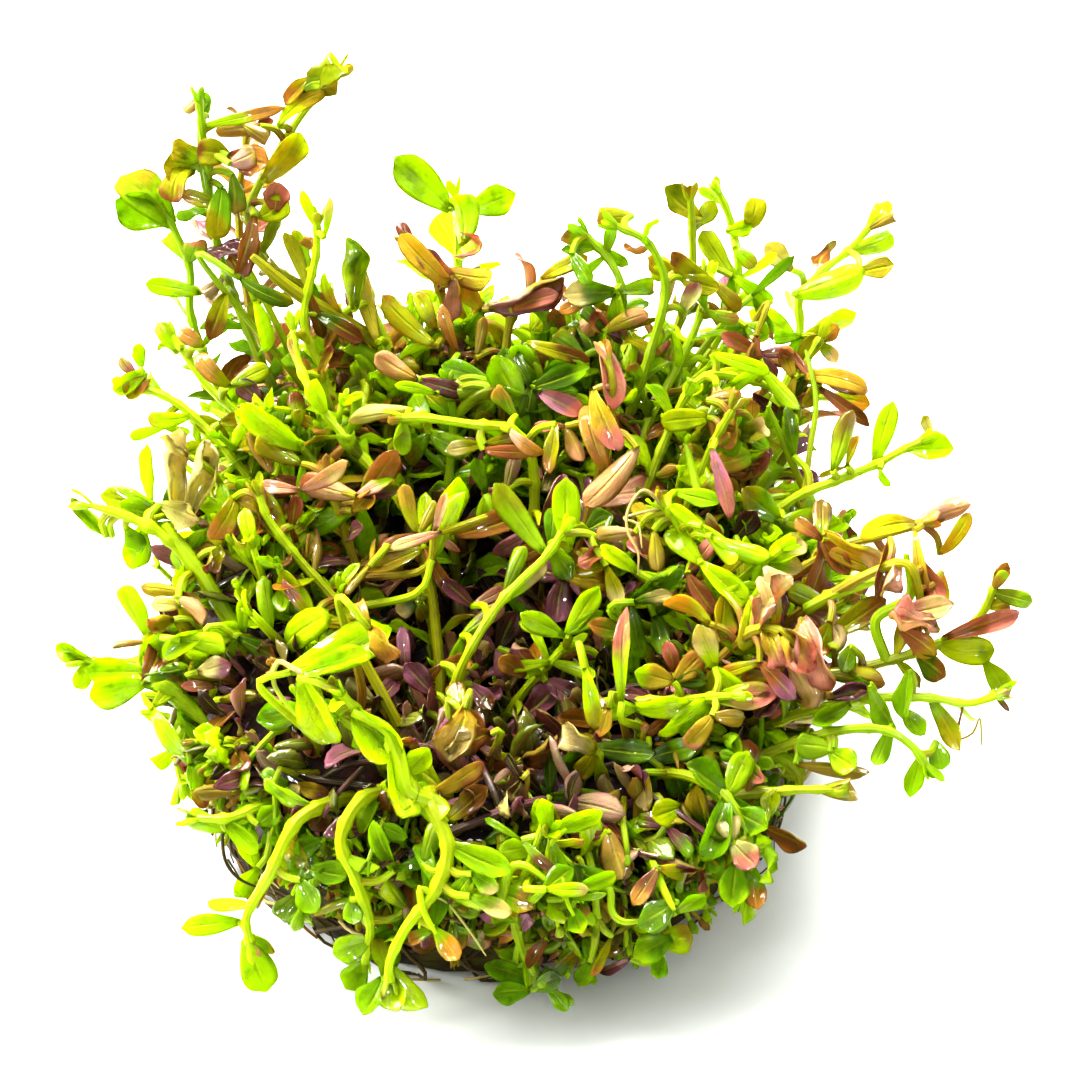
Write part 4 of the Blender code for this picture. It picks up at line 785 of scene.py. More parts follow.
def leaf_material(name, glow, wet_share):
    """Leaf tissue: the leaf's own two colours, pale midrib and veins, a darker mottle, wet in spots, and
    light coming through, in the glow colour where the tissue is green and tan where it is pink."""
    material, net, surface = new_material(name)
    where = net.node("ShaderNodeTexCoord", {}, {}, "Object")
    u, v, w = net.attribute("leaf_at").parts()
    fresh, warm_low, warm_high = net.attribute("glow").parts()
    mottle = net.speckle(where, 900.0, 3.0)
    broad = net.speckle(where, 220.0, 2.0)
    tip = (v + (broad - 0.5) * 1.8).ramp(0.42, 0.85)
    colour = net.blend(tip, net.attribute("tint", 0), net.attribute("tip_tint", 0))
    mottled = mottle.ramp(0.45, 0.75)
    colour = net.blend(mottled * 0.4, colour, LEAF_MOTTLE)
    aside = u.size()
    slant = (v * SIDE_VEINS - aside * VEIN_SLANT) * TURN
    long_veins = (aside * LONG_VEINS).cos().ramp(0.8, 1.0) * (1 - v).ramp(0.0, 0.3)
    veins = long_veins.most(slant.sin().ramp(0.8, 1.0) * 0.6) * (1 - aside).ramp(0.05, 0.3)
    midrib = aside.ramp(0.16, 0.03) * v.ramp(0.97, 0.6)
    colour = net.blend((veins * 0.22 + midrib * 0.45).least(1.0), colour, net.blend(0.4, colour, LEAF_VEINS))
    rim = aside.ramp(0.86, 1.0).most(v.ramp(0.93, 1.0))
    colour = net.blend(rim * broad.ramp(0.4, 0.6) * 0.6, colour, LEAF_RIM)
    colour = net.blend(w.ramp(0.1, -0.3) * 0.2, colour, LEAF_UNDERSIDE)
    height = mottle * 0.9 - veins * 0.5 - midrib * 1.2 + broad * 2.0
    bump = net.node("ShaderNodeBump", {}, {"Strength": 0.7, "Distance": 0.0003, "Height": height})
    wet = net.speckle(where, 210.0, 1.0).ramp(0.6 - wet_share * 0.3, 0.64 - wet_share * 0.3)
    skin = net.node("ShaderNodeBsdfPrincipled", {}, {
        "Base Color": colour, "Roughness": 0.45 - wet * 0.2 + mottle * 0.1, "Specular IOR Level": 0.05,
        "Coat Weight": wet, "Coat Roughness": 0.05, "Coat IOR": 1.45, "Normal": bump})
    through = net.node("ShaderNodeBsdfTranslucent", {}, {"Color": glow})
    tan = net.node("ShaderNodeBsdfTranslucent", {}, {"Color": WARM_GLOW})
    warm = warm_low * (1 - tip) + warm_high * tip
    through = net.node("ShaderNodeMixShader", {}, {0: warm, 1: through, 2: tan})
    clear = 1.15 - mottled * 0.5 - broad.ramp(0.45, 0.65) * 0.35 - (veins + midrib) * 0.25
    glowing = (fresh * LEAF_GLOW * clear).least(0.9)
    mixed = net.node("ShaderNodeMixShader", {}, {0: glowing, 1: skin, 2: through})
    net.tree.links.new(mixed.socket, surface)
    return material


def stem_material(name, glow):
    """Stem tissue: finely ridged along its length, and paler on the ridges."""
    material, net, surface = new_material(name)
    where = net.node("ShaderNodeTexCoord", {}, {}, "Object")
    x, y, _ = net.attribute("round_at").parts()
    ridges = (y.maths("ARCTAN2", x) * RIDGES_ROUND).sin()
    mottle = net.speckle(where, 700.0, 3.0)
    fresh, _, _ = net.attribute("glow").parts()
    colour = net.blend(0.12, net.attribute("tint", 0), STEM_DULL)
    colour = net.blend(ridges.ramp(0.2, 1.0) * fresh * 0.2, colour, STEM_RIDGES)
    colour = net.blend(mottle.ramp(0.5, 0.8) * 0.4, colour, STEM_MOTTLE)
    wet = net.speckle(where, 150.0, 1.0).ramp(0.5, 0.66)
    height = ridges * 0.6 + mottle
    bump = net.node("ShaderNodeBump", {}, {"Strength": 0.5, "Distance": 0.0001, "Height": height})
    skin = net.node("ShaderNodeBsdfPrincipled", {}, {
        "Base Color": colour, "Roughness": 0.4 + mottle * 0.15, "Specular IOR Level": 0.12,
        "Coat Weight": wet * 0.4, "Coat Roughness": 0.06, "Normal": bump})
    through = net.node("ShaderNodeBsdfTranslucent", {}, {"Color": glow})
    mixed = net.node("ShaderNodeMixShader", {}, {0: fresh * STEM_GLOW, 1: skin, 2: through})
    net.tree.links.new(mixed.socket, surface)
    return material


leaf_skins = {finish: leaf_material(finish + "_leaf", glow, WET_SHARES.get(finish, WET_SHARE))
              for finish, glow in GLOWS.items()}
stem_skins = {finish: stem_material(finish + "_stem", glow) for finish, glow in GLOWS.items()}
tree, sockets = growth_tree()


def finish_piece(growth, name, node=None, leaf_cells=(6, 10), stem_sides=8):
    """Gives a growth its bodies and puts it in the scene as one plain mesh."""
    holder = bpy.data.objects.new(name, growth.mesh(name + "_points"))
    scene.collection.objects.link(holder)
    modifier = holder.modifiers.new("growth", "NODES")
    modifier.node_group = tree
    for socket, value in (("Stem sides", stem_sides), ("Leaf cells across", leaf_cells[0]),
                          ("Leaf cells along", leaf_cells[1]), ("Stem material", stem_skins[growth.finish]),
                          ("Leaf material", leaf_skins[growth.finish])):
        modifier[sockets[socket]] = value
    holder.update_tag()
    depsgraph = bpy.context.evaluated_depsgraph_get()
    mesh = bpy.data.meshes.new_from_object(holder.evaluated_get(depsgraph), depsgraph=depsgraph)
    bpy.data.objects.remove(holder)
    mesh.name = name
    for column in ("leaf", "girth", "along", "up", "size", "bend", "form", "root_at"):
        if column in mesh.attributes:
            mesh.attributes.remove(mesh.attributes[column])
    add_piece(name, mesh, node)


# Leaves and stems that show singly between the shoots. They are the same living parts, on side stems of the
# shoots or short stems out of the tangle; each is set where it shows from the front.
TO_RIGHT = Vector((1, 0, 0))
TO_TOP = TOWARDS_VIEW.cross(TO_RIGHT)
VIEW_MIDDLE = VIEW_TARGET / MM
VIEW_AWAY = VIEW_DISTANCE / MM
# Ways that a leaf is bent: curl, fold and twist in radians, and how wavy it is
BENDS = {"flat": (-0.3, 0.35, 0.1, 0.08), "cup": (0.7, 0.9, 0.1, 0.12), "arch": (-1.4, 0.6, 0.2, 0.1),
         "fold": (-0.4, 1.5, 0.3, 0.14), "roll": (0.6, 2.3, 0.6, 0.2), "curl": (1.9, 0.9, 0.5, 0.15),
         "crumple": (-1.0, 1.5, 1.0, 0.4)}
# Each leaf: mm nearer to the viewer than the middle of the plant; its root and its tip, in mm to the right
# and up from the middle of the view; its width; its tissue at the root, at the tip if that differs,
# and its bend
SINGLE_LEAVES = (
    # the tall group at the back left
    (-10, -37.2, 31.8, -42.3, 33.9, 4.2, "lime deep cup"),
    (-11, -37, 31.6, -41.8, 36.2, 4.6, "grass olive arch"),
    (-9, -33.8, 38, -36.6, 39.8, 2.4, "olive_tip olive fold"),
    (-9, -34.4, 37, -37.6, 37.4, 3.2, "olive cup"), (-9, -35, 37.2, -36.6, 33.9, 3, "olive rust arch"),
    (-8, -31.2, 38.4, -34.2, 38.9, 2.8, "olive brown arch"),
    (-9, -33.3, 42.4, -34, 44.6, 1.6, "green grass curl"),
    (-9, -33.9, 44.4, -35.6, 43, 1.3, "mauve pale fold"),
    (-8, -33.4, 41.9, -25.8, 43.2, 1.3, "olive_tip amber arch"),
    (-8, -28, 41.4, -32.3, 40.9, 2.2, "rust amber fold"),
    (-7, -31.2, 38.4, -27.2, 37.6, 3.4, "rust amber cup"),
    (-6, -31, 37.6, -28.6, 38.8, 2.4, "mauve rust arch"),
    (-8, -29.8, 41.6, -27.4, 39.9, 1.8, "amber rust fold"),
    (-7, -27.6, 35.9, -24, 40.5, 2.8, "olive lime fold"),
    (-8, -26.2, 41.4, -21.6, 44.7, 2, "lime olive arch"),
    (-7, -23.6, 45, -19.4, 47, 2.6, "deep grass crumple"),
    (-7, -22.8, 45, -20.4, 45.8, 2.2, "deep olive curl"),
    (-8, -23, 46.2, -25.4, 43.6, 1.5, "olive amber fold"),
    (-8, -26.6, 32.8, -26.2, 35.7, 2.8, "rust pink cup"),
    (-9, -28, 32.3, -25.2, 33.8, 2.6, "olive_tip lime arch"),
    (-8, -28.6, 32.4, -30.3, 26.3, 2.3, "brown fold"),
    (-9, -30.8, 36.6, -30.4, 32.8, 1.8, "deep brown fold"),
    (-9, -31.8, 35.2, -32.4, 30.2, 2.6, "green olive arch"),
    (-9, -31.6, 33.4, -35.8, 34.6, 1.6, "olive amber fold"),
    (-10, -34, 24.7, -39.3, 25.6, 1.9, "lime grass arch"),
    (-9, -31.8, 26.2, -33.7, 24.7, 1.6, "plum mauve fold"),
    (-9, -31.4, 24.6, -33, 20.2, 2.1, "olive brown fold"),
    (-7, -30, 26.2, -24.8, 23.7, 1.6, "deep olive arch"), (-7, -24.1, 25.4, -25.5, 30.6, 1.5, "olive arch"),
    (-8, -23.2, 27, -24.6, 30.9, 1.2, "grass olive arch"),
    (-7, -18.6, 23, -19.3, 30, 2.4, "olive_tip deep roll"),
    (-8, -16.2, 19.8, -18.2, 27.4, 1.9, "amber olive arch"),
    (-8, -22.4, 22.6, -17.8, 20, 1.8, "deep brown fold"), (-8, -22.6, 29, -23.6, 30.2, 1, "rust amber fold"),
    (-9, -19.8, 22.6, -21.6, 26.6, 1.4, "amber lime arch"),
    (-8, -28.6, 24, -27.4, 19, 1.8, "lime grass arch"), (-4, -22, 31, -23.8, 34.9, 1.2, "lime flat"),
    (-4, -21.6, 30.2, -21, 34.2, 1, "lime pale flat"),
    (-6, -36.4, 18.8, -38.2, 21.7, 1.3, "grass pale fold"),
    (-6, -33.6, 19.4, -36, 20.9, 1.7, "olive amber arch"),
    # the shoot at the far back and the brown fan before it
    (-25, -8.9, 33, -14.3, 38.2, 4, "grass deep cup"), (-24, -7.8, 29.6, -8.3, 34.4, 3.2, "grass lime arch"),
    (-26, -7.2, 33, -2.6, 34.6, 3.4, "green grass cup"),
    (-9, -8.8, 25.4, -13.8, 30.4, 2.3, "amber olive arch"),
    (-8, -8.6, 26.2, -12.4, 28.7, 2.2, "rust mauve cup"), (-8, -9.8, 27, -5, 26.2, 2.5, "brown olive arch"),
    (-9, -5.8, 23, -8.2, 25.8, 2.4, "grass lime curl"), (-8, -5.2, 23.4, 2.2, 26.2, 2.8, "mauve rust fold"),
    (-7, -2.8, 23, 1.7, 24.6, 1.8, "rust pink arch"), (-8, -10.4, 19.4, -15.6, 24.3, 2.4, "lime arch"),
    (-9, -10.4, 21, -12.2, 24.8, 1.8, "grass lime arch"),
    (-7, -8.2, 18.6, -9.8, 23.5, 1.3, "brown amber fold"),
    (-7, -6.4, 18.2, -5.6, 22.2, 1.2, "brown rust fold"), (-4, 9.2, 32.4, 5.8, 32, 2.1, "olive amber arch"),
    (-6, 6, 29.2, 2.3, 30.4, 1.8, "grass brown arch"), (-6, 5.8, 28.8, 2.2, 29, 1.2, "grass green cup"),
    (-5, 3.2, 28.6, 5, 25.6, 1.7, "green fold"), (-6, 7, 28.6, 7.3, 31.6, 1.3, "grass green cup"),
    (-8, 0.2, 26.2, 4.6, 28.3, 1.6, "olive lime arch"), (-5, 7.6, 24.8, 2.5, 24.6, 2.7, "deep pale cup"),
    (-5, 6.4, 20.8, 10.7, 22.6, 1.9, "amber pink arch"), (-6, 6.8, 20.8, 5.3, 22.7, 1.7, "rust fold"),
    (-6, 4.6, 24, 2, 22.9, 1.4, "amber arch"), (-7, 4.4, 18.4, 1.4, 20.4, 1.8, "green olive fold"),
    (-7, 8.4, 20.2, 12, 18.6, 1.1, "olive amber arch"),
    # the middle of the back: glossy greens, the pink leaves and the level stem's pale leaf
    (-4, -1.6, 13, -4.6, 18.2, 3.3, "green grass cup"), (-5, 0.2, 16, -2.8, 19.2, 2.8, "green grass cup"),
    (-4, -0.8, 15.2, 4.8, 17.3, 2.6, "deep green cup"), (-4, -4.6, 15.2, -9.8, 14.8, 2.4, "grass arch"),
    (-5, -5, 15.9, -9.7, 17.4, 2.2, "green cup"), (-5, -1.4, 19.8, 4.8, 18, 1.6, "olive brown arch"),
    (-4, 0, 14.8, 4, 12.7, 2.1, "mauve pink fold"), (-3, -2.4, 12.4, -4.2, 15.4, 1.6, "green amber fold"),
    (1, 6, 19.6, 7.4, 13.2, 2.4, "pink fold"), (2, 5.4, 15, 8, 9.2, 2.5, "amber pink fold"),
    (3, 9.7, 9.2, 4.5, 3.6, 2.7, "pink arch"), (0, 6.8, 6.6, 4.6, 13.2, 2.1, "amber arch"),
    (-1, -13, 13, -19, 11.9, 1.7, "pale fold"), (-3, -12.2, 16, -16.3, 18.5, 2.3, "rust pink fold"),
    (-3, -10.4, 14.6, -14.4, 15.5, 1.1, "lime arch"), (-1, -13.6, 12, -14, 8.6, 2, "lime grass curl"),
    (-2, -11, 10.8, -7, 9, 2.4, "green arch"), (0, -5.7, 9, -1, 8.8, 1.5, "rust amber arch"),
    (1, -3, 11, 0.2, 8.7, 1.6, "pink amber arch"), (0, -5.6, 9.6, -9.3, 9, 1.6, "olive pale cup"),
    (-1, -5.4, 4.6, -6.6, 8.1, 1.7, "green cup"), (0, 0.2, 1.2, 2.4, 6.4, 2.2, "plum mauve fold"),
    (-1, -3.4, 5, -2.6, 8.4, 1.5, "plum mauve fold"), (0, 1.6, 11.6, 1, 6.8, 1.6, "olive amber fold"),
    (0, 2.6, 11.4, 4.2, 8, 1.8, "rust pink fold"),
    # the back right
    (-12, 16, 32, 12.6, 35.2, 3, "olive deep cup"), (-13, 15.8, 31.4, 17.5, 33.8, 2, "grass lime cup"),
    (-15, 18.6, 33.8, 15.9, 35.1, 1.1, "grass green arch"), (-15, 20.8, 31.2, 21.7, 34.1, 2.3, "olive arch"),
    (-15, 18.8, 30.8, 21.2, 31.4, 1.8, "lime grass cup"),
    (-15, 19.6, 29.2, 21.5, 27.4, 1.7, "grass olive arch"),
    (-13, 19.2, 26.4, 16.3, 30.8, 2.2, "grass lime arch"),
    (-12, 21.2, 24.4, 25.3, 28.3, 1.2, "green deep fold"), (-22, 25.2, 27, 22.6, 29.5, 2.5, "pale cup"),
    (-24, 30.4, 28.9, 35.2, 30.4, 2.2, "lime green arch"), (-22, 25.4, 24.6, 32.2, 27, 3, "lime fold"),
    (-22, 32, 26.8, 35.3, 27.5, 2.5, "olive cup"), (-10, 26.4, 20.4, 29.9, 21, 2, "grass amber arch"),
    (-9, 25.8, 17.4, 28.2, 20.2, 1.9, "olive deep fold"), (-9, 28, 19.8, 29.6, 17.8, 1.5, "grass pale curl"),
    (-7, 25.4, 16.2, 24.1, 19.1, 1.6, "amber rust cup"), (-7, 26.4, 16.3, 32.6, 14.9, 2.2, "amber arch"),
    (-6, 28.2, 16.2, 31.9, 14.7, 1.8, "brown rust cup"),
    (-8, 29.4, 14.4, 32.9, 13.6, 2.4, "lime amber_tip cup"),
    (-6, 28, 15.2, 32.8, 11.5, 1.4, "rust brown fold"), (-7, 21.8, 18.6, 18.3, 20.6, 1.7, "rust pink fold"),
    (-7, 21.6, 20.4, 20.8, 17.8, 1.4, "rust pink crumple"),
    (-6, 17.2, 25.9, 13.3, 28.7, 1.9, "olive brown fold"), (-5, 14, 26.2, 17.9, 25.1, 2.1, "olive cup"),
    (-5, 14.4, 22.9, 15.8, 25.6, 1.7, "pale mauve fold"), (-5, 12, 22.2, 13.2, 26.8, 1.3, "amber pale fold"),
    (-6, 16.6, 23, 19.8, 22.2, 1.3, "grass rust arch"), (-8, 20.6, 21.4, 22.8, 20.2, 2.4, "grass green cup"),
    (0, 17.6, 15.4, 19, 9.2, 3.2, "amber cup"), (1, 16.7, 14, 19.9, 14.2, 2, "rust pink arch"),
    (0, 16.8, 12.2, 12.3, 11.8, 2.3, "lime bright arch"),
    (-1, 21.2, 11.9, 21.2, 13.9, 1.5, "amber rust cup"),
    (0, 20.1, 10.4, 22.9, 10.8, 2.1, "deep pale crumple"),
    (-3, 22.2, 17.2, 25.8, 13.2, 1.7, "lime grass fold"),
    (-3, 17.2, 18.6, 22.8, 16.8, 1.5, "lime bright arch"),
    (-3, 25.4, 8.4, 24.6, 13.2, 1.4, "green deep fold"),
    (-1, 29.3, 6.9, 31.2, 12.8, 2.1, "grass brown fold"),
    (-1, 30.7, 7.4, 31.9, 10.4, 0.9, "olive amber fold"),
    (-2, 33.7, 7.3, 35.3, 13.7, 2.1, "lime grass flat"), (-2, 37, 8.8, 41.2, 9.2, 2.8, "lime grass cup"),
    (-2, 39.2, 10.4, 38.3, 12.3, 1.3, "pale olive curl"), (-1, 34, 7.1, 35, 5.4, 0.9, "grass green fold"),
    # the right-hand middle, with the wilted leaves
    (4, 17.2, 9, 18.9, 2.3, 1.7, "mauve pink fold"), (1, 24, 1.8, 20.3, 5, 2.9, "green olive cup"),
    (2, 19.6, 0.3, 21.6, 2.8, 2.4, "dark_plum plum cup"), (3, 18.3, -0.2, 16.8, 2.6, 1.1, "rust pale fold"),
    (4, 13.4, 4.8, 17.8, 3.8, 2, "grass green cup"), (8, 22.2, -1.6, 26.6, -0.6, 2.4, "lime pale fold"),
    (8, 22.6, -1.4, 26.2, -2.8, 2, "bright pale cup"), (9, 17.2, 0.4, 22.8, -1.6, 2, "lime bright fold"),
    (9, 16.2, 1.4, 19.4, -2.2, 1.8, "bright lime arch"),
    (9, 16.2, -2.4, 20.4, -6.4, 2.5, "bright lime fold"), (10, 18.4, -5.2, 18.4, -10, 2.5, "lime amber cup"),
    (8, 14.8, -3.4, 17.4, -7.4, 1.8, "rust brown fold"),
    (12, 22.4, -8.8, 24.9, -3.6, 2.4, "rust pale crumple"), (12, 23.6, -8.6, 22, -3.8, 2, "lime pale arch"),
    (13, 22.2, -8.8, 24.4, -12.6, 2.6, "amber pink crumple"),
    (13, 26.2, -7.8, 28.9, -14.8, 3.2, "pink rust crumple"),
    (14, 23.8, -9.4, 27.4, -12.8, 3, "amber pink roll"), (13, 24.8, -12, 27.6, -16.6, 3, "pink rust fold"),
    (13, 22, -12.2, 25.4, -15.8, 1.9, "rust mauve fold"), (12, 24, -15, 21.8, -17.8, 2.2, "plum roll"),
    (10, 21.2, -5.8, 20.4, -11, 2, "lime arch"), (12, 17.5, -12.8, 15.8, -8.6, 2.5, "bright pale cup"),
    (11, 17, -8.4, 12.6, -6.2, 2, "lime grass arch"), (11, 13.5, -13.2, 12.7, -10.2, 1.5, "rust pink fold"),
    (12, 13.4, -14.2, 9.6, -13.2, 2.6, "amber grass cup"),
    (14, 8.2, -16.2, 8.7, -7, 1.7, "bright pink fold"), (8, 9, -6.2, 14.2, -2.6, 2, "deep green roll"),
    (9, 9.4, -6.2, 13.2, -5.4, 1.5, "deep pale cup"), (7, 11.4, -7.6, 12.6, -11.4, 1.8, "deep green fold"),
    (6, 9.6, 0.8, 5.8, 0.2, 1.7, "pink rust fold"), (6, 6.6, -0.6, 4, -2.6, 1.6, "rust pink crumple"),
    (7, 11.4, 1, 11.8, -3, 1.7, "amber rust fold"), (8, 9.8, -3.2, 6.2, -0.6, 1.7, "lime bright fold"),
    (7, 6.6, -2.6, 8.2, -6.6, 1.9, "olive pale cup"), (10, 28.6, -9.8, 34.4, -6, 2.5, "olive brown cup"),
    (9, 29.2, -6.8, 25, -5, 2.2, "grass green arch"), (11, 29, -8.2, 27.8, -11.6, 2.2, "grass amber cup"),
    (12, 28.4, -13.2, 34.3, -14.4, 2.2, "olive rust fold"), (12, 28.6, -15.8, 33, -15.2, 1.7, "plum roll"),
    (13, 16.8, -16.4, 23.5, -15.6, 2.8, "lime pink cup"),
    (14, 17.2, -17.6, 14.6, -20.6, 2.1, "amber pink arch"),
    (13, 9.6, -16.8, 14.8, -16, 2.4, "bright lime fold"),
    # the right
    (10, 37.8, 1.2, 32.2, 0.4, 2.2, "olive lime arch"), (9, 37.3, 1.2, 42.9, 3.5, 2.1, "mauve pink fold"),
    (8, 40, -1.4, 42.9, 2.6, 1.5, "lime grass arch"), (12, 37.5, 0.9, 38.6, -6.8, 1.5, "amber rust fold"),
    (12, 38.2, -2.2, 40, -6.2, 2, "rust pink cup"), (12, 35, 0.2, 33.6, -5.6, 1.7, "brown rust fold"),
    (13, 36.2, -2.4, 34, -5.4, 1.9, "pink rust crumple"), (8, 28.2, 0, 30.8, -3.4, 2, "brown cup"),
    (9, 28.4, 0.8, 35, -2, 1.3, "olive pale crumple"), (7, 34.4, -3.4, 28.8, -1, 1.6, "olive amber arch"),
    (14, 35, -7.6, 41.2, -6.4, 2.4, "pink pale cup"), (14, 39.8, -9, 35, -7.6, 2.4, "pink crumple"),
    (13, 36, -8.8, 39.6, -11.4, 2.4, "rust olive cup"), (12, 40.4, -9.8, 47.7, -7.3, 1.9, "rust pink fold"),
    (13, 37.8, -11.6, 40.5, -13.6, 2.8, "deep brown cup"),
    (11, 39.6, -10, 45.3, -11, 2.8, "lime grass arch"), (12, 45.4, -5, 46.7, -2.3, 1.5, "olive amber cup"),
    (12, 45.6, -5.2, 49.1, -6.2, 1.7, "deep green arch"),
    (12, 44.5, -6.8, 46.9, -6.2, 1.7, "olive brown fold"),
    (12, 44.4, -12, 46.6, -15.6, 2.2, "grass deep curl"),
    (12, 45.2, -15.2, 46.9, -17.1, 0.6, "olive brown fold"),
    (13, 38.8, -16, 41.9, -20.9, 2.1, "grass olive cup"),
    (13, 36.2, -16.8, 38.4, -19.4, 2, "grass green cup"),
    (13, 39.6, -20.2, 40.2, -22.9, 2.1, "grass green flat"),
    (13, 38.2, -21.4, 37, -25.6, 1.9, "lime grass cup"),
    (14, 35.2, -18.6, 33.6, -22.4, 1.7, "green grass arch"), (13, 37, -13, 36.4, -17.8, 1.8, "green fold"),
    (13, 33, -14.4, 35.4, -19, 2, "green deep fold"),
    (14, 29.4, -20.8, 25.8, -20.4, 2.6, "grass green arch"),
    (14, 29, -21.2, 31.5, -22.8, 2.8, "grass lime cup"), (13, 25.6, -22.4, 32.7, -23.2, 1.4, "brown fold"),
    (12, 31, -10.6, 30.4, -13.2, 2, "green deep cup"), (13, 31, -16.4, 27.4, -18.4, 1.8, "deep green fold"),
    (11, 40.2, -3.2, 40.4, -6.6, 1.2, "lime grass curl"),
    # the left
    (-4, -39.4, 16.8, -42.6, 15, 1.9, "grass lime fold"),
    (-4, -39.2, 16.2, -41.2, 14.2, 2, "brown olive fold"),
    (-5, -39.8, 17.2, -40.5, 19.4, 1.5, "grass green curl"),
    (-4, -40.4, 16.6, -41.9, 18.3, 1.2, "mauve pale fold"),
    (-6, -31, 15.4, -34.1, 18.5, 1.9, "olive amber arch"),
    (-7, -27.8, 13.8, -30.2, 15.9, 2.2, "plum mauve cup"),
    (-5, -35.4, 12.2, -39.1, 12.2, 1.7, "lime olive arch"),
    (-5, -37.6, 11.2, -40.9, 10.3, 1.2, "lime grass arch"), (-5, -32.2, 11.6, -34.4, 11.6, 1.9, "olive cup"),
    (-7, -38.8, 3.6, -39.3, 9.4, 2.1, "lime flat"), (0, -36, 1.8, -37.2, 9.8, 2.3, "pale roll"),
    (0, -35, 2.2, -33.4, 9.8, 2.6, "pale roll"), (1, -35.2, 8.4, -38, 10.2, 1.8, "pale olive crumple"),
    (1, -38, 3.6, -34.2, 2.2, 2.4, "pale roll"), (2, -30.6, 4.2, -32.8, 0.2, 2.5, "olive amber arch"),
    (-2, -38.2, 3.2, -43.8, 4.4, 2.8, "grass olive_tip cup"),
    (-1, -37.8, 2.4, -42, 3.4, 2.8, "deep grass cup"), (0, -39.8, 1.4, -40.8, -2.8, 3, "grass lime cup"),
    (1, -41.4, 1.2, -40, -1.2, 2.2, "green cup"), (-1, -43.4, 0.4, -46.8, 4.1, 1.3, "green deep fold"),
    (-1, -42.8, 0.4, -45.8, 2.8, 1.5, "grass green fold"),
    (1, -35, -2.2, -36.4, -5.1, 2.1, "lime grass cup"),
    (3, -35.8, -5.2, -39.8, -4.7, 1.5, "amber rust fold"), (4, -36.2, -5.8, -33.8, -8.4, 1.9, "pink fold"),
    (3, -36.2, -6.6, -38.8, -6.4, 1.6, "pale arch"), (4, -36.6, -8, -39.3, -8.2, 1.8, "olive amber roll"),
    (2, -39.4, -9.6, -41.9, -4.9, 2.1, "lime fold"), (0, -23.8, 9.2, -29.7, 13.4, 2.8, "lime fold"),
    (1, -23.8, 7.6, -28.2, 10.2, 2.2, "green grass fold"),
    (0, -26.6, 6.4, -28.9, 10.8, 1.7, "rust brown fold"), (3, -18.4, 4.4, -23.8, 6, 2.4, "pink arch"),
    (3, -24, 5, -19.4, 7.8, 1.8, "pink pale arch"), (3, -24.8, -0.8, -28.6, 5.1, 2.5, "grass olive_tip cup"),
    (4, -27.8, 2.8, -28.8, 5.2, 1.3, "rust amber fold"), (3, -24.8, 1.4, -24.4, 4.4, 1.5, "brown rust fold"),
    (5, -22.2, -8.6, -25.8, -3.2, 2.4, "lime grass cup"),
    (6, -22.4, -8.2, -25.6, -4.1, 1.1, "olive pink fold"), (1, -18, 3.6, -14.4, 8.8, 2.9, "grass amber cup"),
    (2, -18.8, 2.8, -16.8, 4.9, 1.6, "amber roll"), (-5, -23.6, 16.4, -25.1, 20.1, 1.1, "lime amber fold"),
    (-5, -22.2, 16.4, -20.9, 19.5, 0.9, "amber rust fold"),
    (2, -31.8, -0.8, -33.4, -3.2, 1.6, "olive rust crumple"),
    (5, -30.2, -9.8, -26.4, -11.8, 1.9, "deep brown cup"),
    (6, -32, -16, -28.4, -15.6, 1.3, "olive brown fold"),
    (6, -34.2, -13.2, -31, -12.4, 2.4, "pale mauve cup"),
    (5, -32.4, -14.6, -35.8, -14.6, 1.1, "rust pink fold"),
    (4, -35.4, -13, -39.4, -13.4, 1.3, "green deep fold"),
    (3, -39.6, -13.8, -38, -9.4, 2.7, "grass green cup"),
    (3, -39.4, -10.2, -42.7, -10.8, 0.8, "rust brown fold"),
    (4, -39.4, -13.2, -45.3, -13.2, 2.8, "lime grass cup"),
    (5, -39.6, -14.4, -44.9, -15.6, 3.4, "grass cup"),
    (3, -44.8, -11.4, -48.3, -10.6, 1.8, "grass green fold"),
    (3, -44.8, -11.8, -46.4, -14.7, 1.9, "lime fold"), (5, -33, -18.8, -38.5, -14.6, 2.1, "lime grass fold"),
    (6, -38.8, -16.8, -35.6, -21.4, 2, "lime grass arch"),
    (7, -35, -22.4, -34.8, -25, 1.9, "grass lime fold"),
    (7, -34.4, -24.4, -33.6, -26.8, 1.6, "olive brown fold"),
    (10, -29.2, -24.8, -34.5, -25.2, 1.4, "rust fold"),
    (8, -31.6, -20, -34.6, -19.2, 2.2, "lime bright cup"),
    (9, -31, -22.4, -32.4, -18.8, 2.8, "bright lime crumple"),
    (7, -36, -10, -31.6, -10.6, 2.2, "bright lime arch"),
    (6, -33.6, -9.2, -37.6, -11.8, 2, "lime grass fold"),
    (12, -31.4, -29, -35.3, -27.6, 2.1, "grass green fold"),
    (12, -31.4, -28.8, -28.4, -31.3, 1.9, "grass cup"), (12, -28.2, -28.4, -26.2, -26.8, 2.4, "green cup"),
    (12, -23.4, -16.8, -28.2, -18, 3, "grass green cup"),
    # the big folded leaf at the front left, the loops below it and what hangs there
    (20, -25, -13.2, -15.2, -9, 4.3, "lime bright cup"),
    (21, -24.2, -13.8, -17, -11.6, 2.2, "grass lime fold"),
    (22, -17, -8.9, -14.2, -11.6, 2.2, "amber crumple"), (19, -23.8, -13.6, -20.2, -20, 3.6, "lime fold"),
    (20, -20.2, -17.4, -17.6, -18.4, 2.2, "lime amber arch"),
    (20, -13.4, -23.4, -11.2, -20.9, 2.5, "lime cup"),
    (21, -14.4, -22.6, -12.4, -27.4, 2.6, "lime bright fold"),
    (20, -12.6, -25.4, -9.6, -27.6, 2.6, "green lime arch"),
